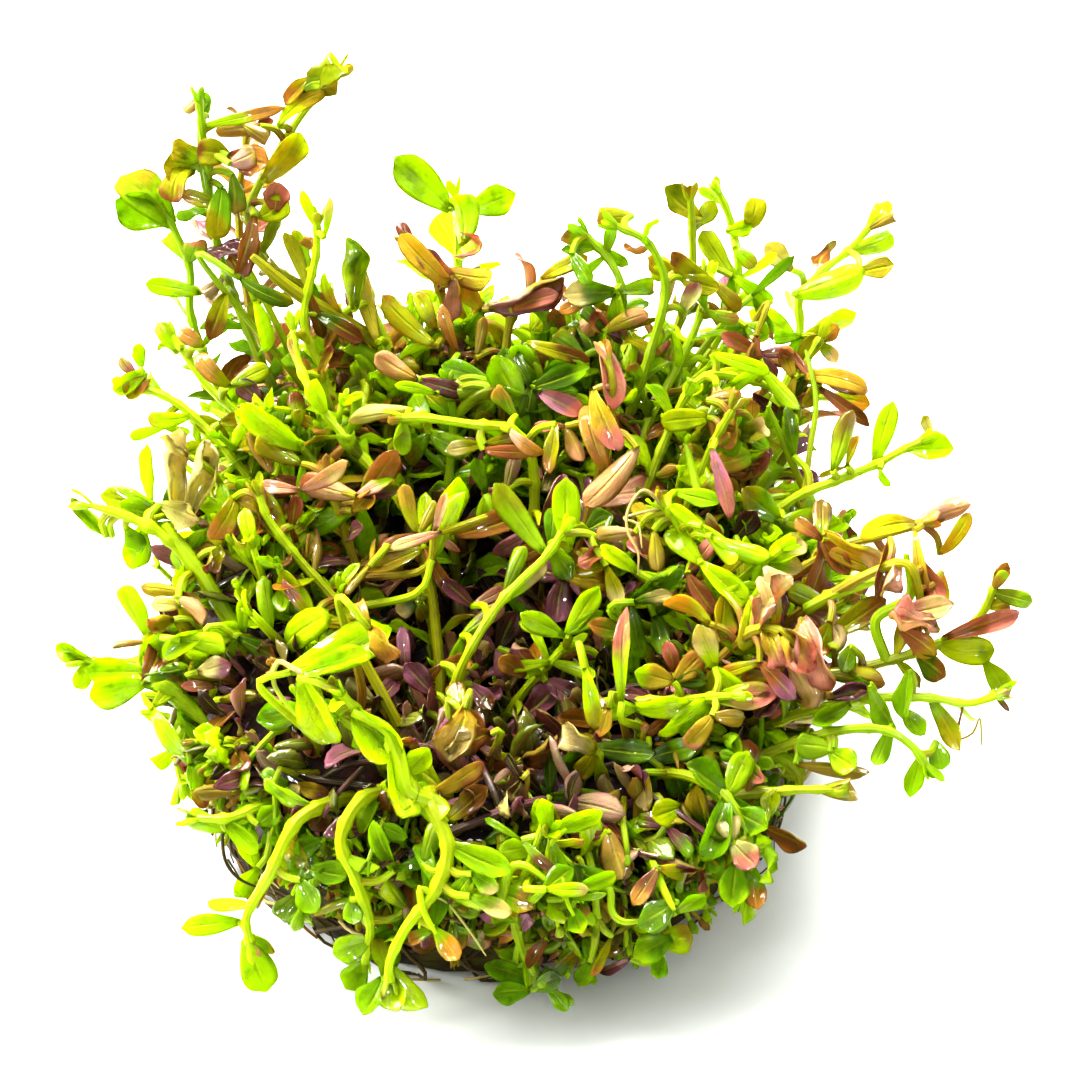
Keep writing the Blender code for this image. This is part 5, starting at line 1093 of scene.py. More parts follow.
    (12, -30, -38.2, -35.7, -38.8, 2.2, "grass flat"), (9, -29.4, -39.8, -27.4, -45, 3.5, "grass flat"),
    (10, -28.8, -39.6, -26.6, -41.2, 1.2, "green olive curl"),
    (13, -17.4, -39.4, -20.6, -41.4, 3, "grass cup"), (11, -17.4, -42.4, -19.4, -44.8, 2.8, "green cup"),
    (15, -15, -42.6, -11.4, -46.6, 2.6, "grass lime fold"),
    (15, -15.2, -43.2, -14.2, -47, 3.2, "green lime cup"), (14, -15.6, -43.8, -17.6, -47.4, 3, "green cup"),
    (20, -18.8, -17.4, -14.2, -21.6, 3.6, "lime bright fold"),
    (21, -14.8, -21, -13.6, -26.8, 3.4, "lime cup"), (15, -13.2, -37, -15.4, -34.2, 1.8, "green lime fold"),
    (14, -21.8, -30, -24.6, -31.2, 2.2, "green cup"), (15, -23.2, -33, -19.4, -33.6, 2.5, "green cup"),
    (15, -24, -34, -22.4, -37.2, 2.6, "green cup"), (14, -23, -31.2, -24.6, -33.8, 2.6, "green cup"),
    (9, -24.4, -18.4, -22.6, -21.8, 3, "plum pink roll"), (9, -20, -20.2, -17, -23.6, 2, "mauve plum fold"),
    (12, -24.6, -24.6, -21.2, -25.2, 1.6, "amber rust fold"),
    (13, -21, -26.6, -22.8, -29, 2.2, "amber brown cup"),
    (13, -7.6, -16.8, -9.4, -21.8, 3.4, "amber pale crumple"),
    (13, -4.9, -19.4, -9.4, -20.8, 2.6, "brown pale crumple"), (12, -8, -17, -5.6, -19, 2.2, "brown cup"),
    (15, -1.8, -24, -4.4, -27.2, 1.8, "dark_plum pale crumple"),
    (16, -10, -25, -5.8, -22.4, 1.8, "amber rust arch"),
    (17, -9.4, -28.2, -5.4, -24.8, 2.3, "olive brown cup"),
    (21, -9, -30.4, -3, -33.2, 2.7, "grass green cup"), (19, -11.8, -32.4, -10.4, -28, 2, "green lime fold"),
    (20, -10, -34.8, -5.4, -35.8, 2.1, "grass lime fold"), (21, -7, -35.6, -3, -37.4, 1.9, "grass pale cup"),
    (21, -6.8, -33.4, -4.2, -35, 2, "green pale cup"),
    (20, -4.4, -34.8, -0.8, -36.8, 2.6, "grass amber_tip cup"),
    (21, 0.4, -29.8, 0.2, -26, 1.9, "grass lime cup"), (21, 0.8, -29.8, 6.1, -27.3, 2, "grass bright cup"),
    (20, -1.8, -30, 1.5, -33.2, 1.1, "grass brown fold"), (22, 0.6, -34.9, 4.8, -35, 1.4, "lime pale arch"),
    (21, 0.4, -35, 3.2, -32.8, 2.4, "grass green cup"), (21, 3.8, -34.8, 7.5, -33.3, 1.7, "grass lime fold"),
    (20, 2.6, -35.8, 6.6, -35.4, 0.7, "green grass arch"),
    (20, 3.3, -36.8, 4.2, -39.3, 2.1, "green lime cup"), (14, -1.8, -39.2, -1.2, -37.4, 1.8, "mauve cup"),
    (17, 6.8, -29, 8.5, -33.8, 2.8, "rust fold"), (18, 11.8, -32.8, 9.3, -36.4, 1.8, "rust amber cup"),
    (16, 9.4, -31.2, 15.6, -32.9, 1.1, "pink plum roll"), (18, 13.6, -36.2, 9.9, -38.6, 3, "green cup"),
    (17, 13.2, -39.8, 9.5, -41.6, 2.8, "green grass cup"),
    (16, 12, -40.2, 15.2, -39.8, 2.9, "olive_tip flat"),
    (16, 12, -41.4, 11.8, -43.8, 1.7, "green grass flat"),
    (18, 13.6, -37.2, 16.5, -35.6, 1.7, "grass green cup"),
    (13, -0.8, -44.8, -5.4, -42.6, 2.1, "green deep cup"), (13, -1, -45, -4.6, -45.4, 2.4, "green deep cup"),
    (13, -0.8, -45, 2, -43.6, 2, "green deep cup"), (13, 0.6, -45.2, 2.7, -47, 1.5, "grass green cup"),
    (13, 0.8, -44.6, 2.9, -42.6, 1, "green deep fold"),
    (14, 0.8, -39.8, -1.2, -42.8, 1.3, "rust brown fold"), (14, 5, -42.2, 4, -44.6, 1.9, "green deep cup"),
    (14, 7.2, -39.6, 5.2, -43.5, 1, "olive amber fold"), (13, 9, -41.8, 6, -43.2, 1, "plum dark_plum fold"),
    (19, -10.6, -38.8, -8.2, -41.9, 2.2, "grass amber_tip cup"),
    (15, -17, -35.4, -22.4, -37.5, 0.9, "green olive fold"), (16, -19, -36, -18.6, -38.4, 2, "green cup"),
    (18, -14.6, -33, -16.6, -28.2, 1.8, "green fold"),
    # the front right corner and the wet leaves at the pit's right edge
    (16, 18.4, -25.4, 14.8, -22.4, 2.4, "green deep fold"),
    (17, 20, -26.6, 22.6, -28.8, 3, "green grass cup"), (17, 18.4, -26.2, 16.6, -31.8, 2.6, "green fold"),
    (18, 19.2, -30.2, 21.6, -32.6, 2.8, "pale pink cup"),
    (17, 19.6, -32.2, 19.2, -36.6, 3, "green grass cup"),
    (17, 21, -32.8, 21.8, -36.8, 2.2, "green amber cup"),
    (17, 22.6, -30.6, 22, -34.2, 1.8, "green grass crumple"),
    (15, 22.6, -28, 23.3, -24.9, 1.9, "green lime cup"), (13, 22.4, -28.6, 26.5, -30.6, 1.7, "brown fold"),
    (15, 20, -22, 22.4, -23.9, 1.7, "green pink curl"),
    (13, 5.6, -21.2, 2.4, -18.6, 2.4, "olive pale crumple"), (12, 5.2, -20.8, 11.4, -21.4, 2.6, "deep cup"),
    (12, 10.8, -21.8, 15.6, -20.6, 2.4, "deep green cup"),
    (12, 8, -26.8, 6.2, -23.6, 1.6, "plum mauve fold"), (13, 10.5, -23.2, 10.7, -27, 1.5, "amber pale roll"),
    (14, 6.9, -16.8, 6, -19.6, 1.7, "amber amber_tip cup"),
    (14, 4.4, -12.8, 5.6, -18.8, 1.7, "lime olive fold"),
    (15, 12.6, -28.6, 15, -31.8, 1.5, "plum green fold"), (13, 17, -29, 15.8, -24.6, 2, "deep olive fold"),
    (12, 1, -25.6, 6.6, -26, 2.2, "deep olive cup"), (11, -1.8, -22, 1.6, -19.6, 2.2, "brown rust crumple"),
    # the pit and the stems that cross it
    (4, -10.6, -1.6, -8.2, 6, 2.8, "lime bright curl"), (5, -10.8, -2, -7.6, 4.6, 2.2, "bright lime fold"),
    (5, -10.6, 0.8, -9.4, 4.6, 1, "pink pale fold"), (5, -9.8, 0.8, -14.8, -0.8, 1.2, "pink pale arch"),
    (4, -11.6, -0.8, -17.3, -3, 1.9, "olive amber cup"), (5, -17, -2.6, -19.4, -5.4, 0.8, "amber rust arch"),
    (2, -8.6, 0.4, -2, 2.4, 2.6, "brown amber cup"), (5, 0.6, -1.4, -4.4, 5.4, 2.6, "grass olive_tip arch"),
    (5, 2.8, -1, 2.6, 6, 2.8, "lime grass flat"), (4, 1, -0.4, 3.2, -3.8, 2.4, "grass deep cup"),
    (2, 2.4, -3.6, 1.6, -8.2, 2.9, "plum mauve cup"), (7, 2.6, -9.6, 5.8, -4.8, 2.2, "lime bright cup"),
    (7, 2.4, -9.6, -1.8, -7.4, 2.2, "grass bright cup"), (6, 1, -12.2, 5.4, -13.6, 1.4, "lime arch"),
    (5, -3.4, -6, 0.6, -2.2, 1.8, "grass pale cup"), (5, -3.6, -5.4, -1.6, -0.8, 1.6, "deep green fold"),
    (4, -7.8, -9.6, -3.8, -6.6, 1.8, "grass mauve fold"), (3, -6.8, -6.6, -9.6, -4, 1.6, "plum fold"),
    (4, -12.2, 0.6, -13.6, 5.4, 1.7, "olive amber fold"), (4, -12, 0.8, -10.6, 3.8, 1.4, "amber olive fold"),
    (5, -9.8, -12.4, -6.8, -12.2, 1.8, "brown amber cup"), (1, -12.4, -6.4, -14.4, -7, 2.2, "deep pale cup"),
    (6, -1.4, -13.6, -4, -11.8, 2.2, "brown amber cup"),
    (5, -0.4, -12.4, -2.6, -10.4, 1.8, "rust mauve crumple"),
    (7, 9.6, -9.6, 4.9, -8.4, 2, "green amber cup"), (3, 4.6, 1, 7.2, 2.4, 2.8, "deep cup"),
    (2, -13.2, -14, -13.8, -8.8, 1.3, "plum mauve arch"),
    (3, -10.8, -15.4, -13.4, -12.4, 2.4, "plum mauve cup"),
    (4, -7, -14.4, -4.8, -16.8, 2, "mauve brown cup"), (3, -2, -17.6, 1.4, -14.8, 2.4, "plum mauve crumple"),
    (2, -6.4, -12.6, -6.6, -10.8, 1.4, "plum mauve cup"),
    (2, -4.2, -10.8, -2.4, -7.2, 2.4, "dark_plum plum cup"),
    (3, -12, -17.2, -14.8, -17, 2, "brown dark_plum cup"), (5, -16.4, -16.4, -19.2, -14, 2.2, "plum fold"),
    (3, 0.6, -14.2, 3.8, -16.6, 2.4, "mauve plum fold"), (2, 6.4, -12.2, 8, -9.8, 2.4, "deep olive cup"),
    # greens that hang before the pad at the front left
    (6, -23, -34.6, -26.6, -37.2, 2.8, "deep green fold"),
    (8, -28.2, -32.8, -30.4, -35.6, 2.2, "lime grass cup"),
    (7, -26.4, -30, -27, -33.6, 2.4, "green grass cup"),
    (6, -27, -33.6, -28.2, -36.8, 2, "olive brown fold"),
)
# Each stem: radius, tissue at the young end and at the old end, mm nearer to the viewer at each end,
# and its points from the old end to the young one, in mm to the right and up
SINGLE_STEMS = (
    (0.75, "olive", "olive", -12, -6, ((-15.6, 19.4), (-20, 22.2), (-24.5, 24.8), (-28.8, 28.4))),
    (0.4, "green", "grass", -10, -9, ((-33, 33), (-33.9, 38), (-33.9, 42.3), (-33.2, 43.8), (-34.2, 44.5))),
    (0.55, "olive", "olive", 0, 3, ((-10.8, -21), (-10, -15), (-10.5, -8), (-11, -4), (-12.2, 1.6))),
    (0.85, "lime", "lime", -1, 1, ((-29, -10.6), (-31.4, -7.4), (-34.4, -2.6), (-37.6, 1.6))),
    (0.6, "olive", "olive", 6, 9, ((-14, -19.6), (-15.4, -16.2), (-17.6, -12), (-18.4, -9.6))),
    (0.45, "lime", "lime", 19, 20, ((-3.8, -36.4), (-3, -33), (-1.4, -32.6), (1.4, -34.6))),
    (0.45, "lime", "lime", 18, 20, ((-1.8, -34), (-0.6, -31), (0.2, -28.4))),
    (0.4, "lime", "lime", 19, 20, ((0.8, -33.6), (1, -30.6), (2.6, -28.9))),
    (0.32, "lime", "grass", 20, 20, ((2.6, -35.4), (2.8, -36.4), (3.4, -37.6))),
    (0.35, "grass", "grass", 12, 14, ((-2.4, -42.4), (-1.9, -39))),
    (0.35, "lime", "lime", 19, 19, ((-12, -34.8), (-11.6, -37.2), (-10.4, -39.4))),
    (0.45, "bright", "grass", 16, 18, ((11.4, -32.6), (12.4, -35), (13.4, -37))),
    (0.4, "lime", "grass", 16, 17, ((7, -35), (7.2, -37.2), (8.4, -38.2), (10.6, -38))),
    (0.17, "root_cream", "root_cream", 8, 8, ((10.4, 5), (8.8, 3), (8.8, 0.8), (9.8, -1.2), (9.8, -3.4))),
    (0.15, "root_cream", "root_cream", 7, 8, ((8.4, 2.2), (9.8, 1.6), (10.2, -0.8))),
    (0.2, "root_brown", "root_brown", 10, 9, ((-31.8, -29.2), (-31.5, -32), (-30.2, -33.8), (-28.2, -34.8))),
    (0.16, "root_brown", "root_brown", 12, 12, ((-8.4, -41.6), (-7, -43), (-5, -43.2), (-4, -42.6))),
    (0.6, "lime", "grass", 10, 12, ((33.6, -8), (37, -5.6), (36.6, -1.4))),
    (0.65, "bright", "lime", 8, 10, ((26.8, -6.8), (30, -5.2), (34.4, -3.8))),
    (0.13, "olive", "brown", 12, 12, ((41.8, -19.7), (43.3, -19.3), (44, -17.8), (44.2, -20.6))),
    (0.28, "lime", "pink", 20, 18, ((-24.4, -13), (-26.2, -12.2), (-26.6, -14.4), (-24.8, -17),
                                    (-23, -18.4))),
    (0.9, "lime", "lime", 20, 20, ((-13.4, -25), (-14.2, -21.8), (-15.6, -19), (-18.8, -17.2))),
    (0.12, "pale", "pale", 18, 17, ((-9.2, -36.4), (-7, -39.2), (-5.4, -41.6))),
    (0.42, "grass", "olive", -5, -2, ((26.4, 5), (24.4, 9.6), (22.8, 13.4))),
    (0.36, "grass", "olive", -3, -7, ((26.2, 3.6), (27, 9), (27.6, 14), (26.6, 19))),
    (0.45, "grass", "lime", 1, 0, ((16, 3.8), (15.2, 7.2), (14.6, 9.6))),
)
FOOT_CLEARANCE = 0.8
# A leaf within this reach of a shoot grows from it, on a stalk of its own if it is past the second value
SIDE_REACH = 5.0
STALK_GAP = 1.1
STALK_RADIUS = 0.34
STALK_FOOT = 0.1
# How far a chance pair stays from the leaves that are set, along the stem
NODE_GAP = 1.8
# A leaf is drawn a little longer than it shows, for its round tip, and a little narrower
LONGER = 0.04
NARROWER = 0.94
WIDEST_FOLD = 1.9
# How much nearer to the viewer a leaf's tip is than its root
TIP_NEARER = 0.8
# In degrees from the stem: a shoot's first pair of leaves, and the others; and the first pair's size
FIRST_SPREAD = 38
PAIR_SPREAD = 62
FIRST_SIZE = 0.75
LOWEST_PAIR = 2.0
# The distance from a shoot's end at which all its leaves are old, with the darkest tissues, partly painted
# shade
OLD_AND_SHADED_DISTANCE = 20.0
WITHERED_SHARE = 0.1
# Shoots at the front show from this share of their length, and the others from the second
FRONT_SHOOTS = ("front_loop", "front_long_loop", "front_left")
FRONT_SHOWS_FROM = 0.2
SHOWS_FROM = 0.5


def at_view(right, up, near):
    """The place that shows so many mm to the right and up from the view's middle, and so much nearer."""
    share = (VIEW_AWAY - near) / VIEW_AWAY
    place = VIEW_MIDDLE + TO_RIGHT * (right * share) + TO_TOP * (up * share) + TOWARDS_VIEW * near
    return place + TOWARDS_VIEW * max(0.0, (FOOT_CLEARANCE - place.z) / TOWARDS_VIEW.z)


def in_view(place):
    """How far to the right, up and nearer a place shows."""
    off = place - VIEW_MIDDLE
    near = off.dot(TOWARDS_VIEW)
    share = (VIEW_AWAY - near) / VIEW_AWAY
    return off.dot(TO_RIGHT) / share, off.dot(TO_TOP) / share, near


# How far the dense growth reaches from the middle of the view, every 15 degrees from the right, in mm
DENSE_REACH = (33, 28, 32, 35, 33, 29, 25, 27, 28, 35, 36, 37,
               38, 40, 42, 43, 43, 44, 44, 43, 40, 34, 32, 33)
# What must stay in sight: the nearest leaf or stem shown at each small square of the view
SHOWN_CELL = 1.4
SHOWN_SLACK = 0.4
shown = {}


def view_cell(place):
    right, up, near = in_view(place)
    return (round(right / SHOWN_CELL), round(up / SHOWN_CELL)), near


def show(place):
    cell, near = view_cell(place)
    shown[cell] = max(near, shown.get(cell, near))


def hides(*places):
    """Whether one of the places stands before what must stay in sight."""
    return any(cell in shown and near > shown[cell] - SHOWN_SLACK for cell, near in map(view_cell, places))


def strays(place):
    """Whether a place shows outside the dense growth, seen from the front."""
    right, up, _ = in_view(place)
    turn = math.atan2(up, right) / (2 * math.pi) * len(DENSE_REACH)
    k = math.floor(turn)
    here, ahead = DENSE_REACH[k % len(DENSE_REACH)], DENSE_REACH[(k + 1) % len(DENSE_REACH)]
    return math.hypot(right, up) > here + (ahead - here) * (turn - k)


ROLL = 0.7
routes = {name: Route(row[2], index * ROLL) for index, (name, row) in enumerate(SHOOTS.items())}
spots = [(place, name, at) for name, route in routes.items()
         for place, at in zip(route.places, route.distances)]
spot_places = np.array([tuple(spot[0]) for spot in spots])


def nearest_on_shoots(place):
    """How far the nearest shoot is, its name, and how far along it."""
    gaps = np.linalg.norm(spot_places - np.array(tuple(place)), axis=1)
    k = int(gaps.argmin())
    return float(gaps[k]), spots[k][1], spots[k][2]


def free_leaf(growth, root, tip, across, width, age_and_shade):
    """A leaf with its own chance bend; now and then a withered one, rolled and crumpled."""
    draw = growth.draw
    if draw.random() < WITHERED_SHARE * (0.3 + age_and_shade):
        growth.leaf(root, tip, across, width, draw.choice(WITHERED), curl=draw.uniform(-2.4, 2.4),
                    fold=draw.uniform(1.0, 2.4), twist=draw.gauss(0, 1.2), point=draw.uniform(0.5, 0.9),
                    wave=draw.uniform(0.1, 0.3))
        return
    growth.leaf(root, tip, across, width, growth.tissue(age_and_shade), curl=draw.uniform(-1.5, 0.6),
                fold=abs(draw.gauss(0.8, 0.5)), twist=draw.gauss(0, 0.5), point=draw.uniform(0.42, 0.62),
                wave=abs(draw.gauss(0.05, 0.15)))


def single_leaf(growth, root, tip, width, tissues, bend):
    """A leaf that faces the viewer, a little turned."""
    draw = growth.draw
    curl, fold, twist, wave = BENDS[bend]
    face = TOWARDS_VIEW + scattered(draw, 0.25, 0.25)
    if bend in ("arch", "fold") and draw.random() < 0.4:
        face = -face
    fold = fold * draw.uniform(0.8, 1.2)
    tip = tip + (tip - root) * LONGER
    width = NARROWER * width * fold / math.sin(min(fold, WIDEST_FOLD))
    growth.leaf(root, tip, (tip - root).cross(face), width, tissues, curl=curl * draw.uniform(0.7, 1.3),
                fold=fold, twist=twist * draw.choice((-1, 1)), point=draw.uniform(0.46, 0.6),
                wave=wave * draw.uniform(0.6, 1.4))


# Leaves by the shoot that bears them, those that grow from the tangle, and all that are set so far
borne = {name: [] for name in SHOOTS}
loose_leaves = []
set_leaves = []
for near, right, up, tip_right, tip_up, width, look in SINGLE_LEAVES:
    *tissues, bend = look.split()
    tissues = tissues[0] + " " + tissues[-1]
    root = at_view(right, up, near - TIP_NEARER)
    tip = at_view(tip_right, tip_up, near)
    side = (tip - root).cross(TOWARDS_VIEW).normalized() * width / 3
    for k in range(1, 6):
        for sign in (-1, 0, 1):
            show(root.lerp(tip, k / 5) + side * sign)
    gap, name, distance = nearest_on_shoots(root)
    if gap < SIDE_REACH:
        borne[name].append((distance, root, tip, width, tissues, bend))
    else:
        loose_leaves.append((root, tip, width, tissues, bend))
single_stems = []
for radius, young, old, old_near, young_near, marks in SINGLE_STEMS:
    steps = len(marks) - 1
    places = [at_view(*mark, old_near + (young_near - old_near) * k / steps)
              for k, mark in enumerate(marks)]
    single_stems.append((radius, (young, old), places))
    for place in Route(places, 0).places:
        show(place)


def grow_named_shoot(name, index):
    """One of the shoots of the table: the leaves that are set on it, pairs between them, a bud, a stem."""
    finish, leaf_length, _ = SHOOTS[name]
    route = routes[name]
    growth = Growth(finish, 500 + index)
    draw = growth.draw
    nodes = []
    for distance, root, tip, width, tissues, bend in borne[name]:
        spot, along, _, _ = route.at(distance)
        gap = root - spot
        if gap.length < STALK_GAP:
            root = spot
        else:
            ends = [spot, spot + gap * 0.5 + along * gap.length * 0.15, root]
            growth.stem(Route(ends, 0).places, lambda share: STALK_RADIUS + STALK_FOOT * (1 - share))
        single_leaf(growth, root, tip, width, tissues, bend)
        set_leaves.append((root, tip, width, tissues))
        nodes.append(distance)
    taken = list(nodes)
    pair = 0
    distance = route.length - FIRST_PAIR
    while distance > LOWEST_PAIR:
        if all(abs(distance - other) > NODE_GAP for other in taken):
            place, along, side, other = route.at(distance)
            sizes = random.Random(1000 * index + pair)
            axis = side if pair % 2 == 0 else other
            spread = math.radians(PAIR_SPREAD if pair else FIRST_SPREAD)
            # Leaves towards a shoot's foot take older, darker tissues: partly their own age, partly painted
            # shade
            age_and_shade = min(1.0, (route.length - distance) / OLD_AND_SHADED_DISTANCE)
            for sign in (1, -1):
                length = leaf_length * sizes.uniform(0.8, 1.1) * (1.0 if pair else FIRST_SIZE)
                direction = along * math.cos(spread) + axis * sign * math.sin(spread)
                direction = (direction + Vector((0, 0, sizes.uniform(-0.2, 0.2)))).normalized()
                width = length * sizes.uniform(0.42, 0.55)
                tip = place + direction * length * PAIR_REACH
                tip.z = max(tip.z, 0.5)
                if hides(place.lerp(tip, 0.4), place.lerp(tip, 0.7), tip):
                    continue
                across = (axis * sign).cross(along)
                across = across + (tip - place).cross(TOWARDS_VIEW).normalized() * draw.choice((-0.6, 0.6))
                free_leaf(growth, place, tip, across, width, age_and_shade)
            nodes.append(distance)
        pair += 1
        distance -= PAIR_SPACING
    end, along, side, other = route.at(route.length)
    for k in range(BUD_LEAVES):
        angle = 2.4 * k + index
        out = side * math.cos(angle) + other * math.sin(angle)
        tip = end + (along + out * 0.45).normalized() * draw.uniform(1.5, 2.6)
        growth.leaf(end - along * 0.4, tip, out.cross(along), draw.uniform(0.8, 1.2), growth.tissue(0.0),
                    curl=draw.uniform(0.1, 0.7), fold=draw.uniform(0.3, 0.9))
    radius = OTHER_STEMS.get(name, STEM_RADIUS)
    growth.stem(route.places, lambda share: radius + (STEM_TIP_RADIUS - radius) * share ** 2, nodes=nodes)
    return growth


for index, name in enumerate(SHOOTS):
    finish_piece(grow_named_shoot(name, index), name + "_shoot", name)
for name, route in routes.items():
    for place, distance in zip(route.places, route.distances):
        if distance > route.length * (FRONT_SHOWS_FROM if name in FRONT_SHOOTS else SHOWS_FROM):
            show(place)

# Tangle of old growth. The real one is the older stems and leaves, gone dark and purple where the new
# shoots shade them; they are wet and matted and lie on the pad, sunk to a hollow in the middle. Deeper in
# the hollow the leaves and shoots here take darker tissues, partly their own colour and partly painted
# shade.
GROWTH_LUMP = 1.1
RIM_FRONT = 20.0
RIM_SIDE = 27.0
RIM_BACK = 33.0
HOLLOW_CENTRE = Vector((1.0, -7.0))
HOLLOW_FLOOR = 14.6
GROWTH_FOOT = 12.3
GROWTH_FOOT_RADIUS = 28.4
# Share of the height and radius of each ring on the outside, and share of the height, share of the way to
# the hollow's middle and radius of each ring inside
OUTER_RINGS = ((0.3, 31.0), (0.68, 30.2), (0.94, 26.0), (1.0, 21.5))
INNER_RINGS = ((0.5, 0.45, 15.0), (0.15, 0.85, 8.5))
LAST_RING = len(OUTER_RINGS) + len(INNER_RINGS) + 1
RIM_RING = len(OUTER_RINGS)
GROWTH_SIDES = 120
GROWTH_FINE_LUMP = 1.2
FINE_LUMP_SCALE = 0.55
# Dark and paler patches of the matted core and its threads: its own purple, brown and olive, made nearly
# black as painted shade of the tangle's depths
GROWTH_COLOURS = (paint(24, 10, 14), paint(50, 26, 22), paint(46, 46, 6))
GROWTH_PATCHES = 160.0
GROWTH_THREADS = (700.0, 700.0, 250.0)
GROWTH_RELIEF = (0.8, 0.0008)
DARK_LEAVES = 620
DARK_LEAF = (3.5, 7.0)
DARK_STEMS = 60
DARK_STEM_SPAN = (8, 16)
DARK_STEM_RISE = (0.5, 2.5)
DARK_STEM_RADIUS = (0.25, 0.5)


def rim_height(angle):
    """Height of the rim: low at the front, high at the back."""
    back = math.sin(angle)
    return RIM_SIDE + ((RIM_BACK - RIM_SIDE) if back > 0 else (RIM_SIDE - RIM_FRONT)) * back


def growth_ring(k, angle):
    """A point of ring k: the foot, the rings up to the rim, those down in the hollow, and its floor."""
    if k == 0:
        return Vector(round_place(angle, GROWTH_FOOT_RADIUS, GROWTH_FOOT))
    if k <= RIM_RING:
        share, radius = OUTER_RINGS[k - 1]
        radius += lump(angle, 40 + 20 * share, GROWTH_LUMP)
        rise = share * (rim_height(angle) - GROWTH_FOOT)
        return Vector(round_place(angle, radius, GROWTH_FOOT + rise + lump(angle, 30 * share, GROWTH_LUMP)))
    if k < LAST_RING:
        share, shift, radius = INNER_RINGS[k - 1 - RIM_RING]
        rise = share * (rim_height(angle) - HOLLOW_FLOOR)
        return Vector((HOLLOW_CENTRE.x * shift + radius * math.cos(angle),
                       HOLLOW_CENTRE.y * shift + radius * math.sin(angle),
                       HOLLOW_FLOOR + rise + lump(angle, 50 * share, GROWTH_LUMP)))
    return Vector((*HOLLOW_CENTRE, HOLLOW_FLOOR))


def growth_place(level, angle):
    """A point between two rings, by level from 0 at the foot to LAST_RING at the hollow's floor."""
    k = min(int(level), LAST_RING - 1)
    return growth_ring(k, angle).lerp(growth_ring(k + 1, angle), level - k)


def growth_out(level, angle):
    """The direction away from the tangle at such a point."""
    a = growth_place(level + 0.05, angle) - growth_place(level - 0.05, angle)
    b = growth_place(level, angle + 0.05) - growth_place(level, angle - 0.05)
    return b.cross(a).normalized()


def core_point(level, angle):
    place = growth_place(level, angle)
    if 0 < level < LAST_RING:
        rough = 0.5 + noise.noise(place * FINE_LUMP_SCALE)
        place = place - growth_out(level, angle) * GROWTH_FINE_LUMP * rough
    return tuple(place)


core_levels = [0.0] + [k / 3 for k in range(1, 3 * LAST_RING)]
core_mesh = mesh_from("old_growth_core", *turned(core_levels, GROWTH_SIDES, core_point))
core_mesh.materials.append(matted_material(
    "matted_old_growth", GROWTH_PATCHES, GROWTH_THREADS, GROWTH_COLOURS, GROWTH_RELIEF,
    lambda patches, threads: 0.55 + 0.25 * threads))
add_piece("old_growth_core", core_mesh, "old_growth")

dark = Growth("old_growth", 31)
draw = dark.draw
for _ in range(DARK_LEAVES):
    angle = draw.uniform(0, 2 * math.pi)
    level = draw.uniform(0.8, LAST_RING - 0.3)
    place = growth_place(level, angle)
    out = (growth_out(level, angle) + scattered(draw, 0.8, 0.5, 0.25)).normalized()
    length = draw.uniform(*DARK_LEAF)
    across = out.cross(scattered(draw, 1, 1))
    width = length * draw.uniform(0.28, 0.44)
    # Darker tissues deeper in the hollow: partly the old growth's own colour, partly painted shade
    tissue = dark.tissue(min(1.0, max(0.2, 0.25 + 0.35 * (level - RIM_RING))))
    dark.leaf(place, place + out * length, across, width, tissue, curl=draw.uniform(-1.2, 1.2),
              fold=draw.uniform(0.2, 1.2), twist=draw.gauss(0, 0.6), point=draw.uniform(0.55, 0.9),
              wave=abs(draw.gauss(0, 0.15)))
for _ in range(DARK_STEMS):
    angle = draw.uniform(0, 2 * math.pi)
    level = draw.uniform(RIM_RING - 2.0, LAST_RING - 0.5)
    place = growth_place(level, angle)
    out = growth_out(level, angle)
    across = out.cross(scattered(draw, 1, 1))
    across.z *= 0.3
    across.normalize()
    span = draw.uniform(*DARK_STEM_SPAN)
    rise = draw.uniform(*DARK_STEM_RISE)
    ends = [place - across * span / 2, place - across * span / 4 + out * rise,
            place + across * span / 4 + out * rise, place + across * span / 2]
    radius = draw.uniform(*DARK_STEM_RADIUS)
    dark.stem(Route(ends, 0).places[::3], lambda share: radius)
finish_piece(dark, "old_growth_leaves", leaf_cells=(4, 6), stem_sides=6)

# Crowd of short shoots over the tangle, from its wall, its rim and its hollow. Each is a soft stem with
# pairs of leaves that turns up to the light; at the front they are young and hang over the pad.
CROWD_LEAF = (4.6, 7.8)
FRONT_LEAF = (3.4, 5.4)
# Widths of a leaf against its length
CROWD_WIDTH = (0.34, 0.5)
FRONT_WIDTH = (0.48, 0.66)
FRONT_FROM = -17.0
# Radius of a stem at its foot, against its leaves' length, and what it loses up to its tip
CROWD_RADIUS = 0.08
CROWD_TAPER = 0.35
# Distance of a pair of leaves from the next, sizes of the first two, and the first pair's and the others'
# angle to the stem
CROWD_SPACING = (2.6, 4.2)
YOUNG_SIZES = (0.6, 0.85)
CROWD_SPREADS = (36, 64)
CROWD_BUD = (1.0, 1.8)
LOWEST_TIP = 1.5
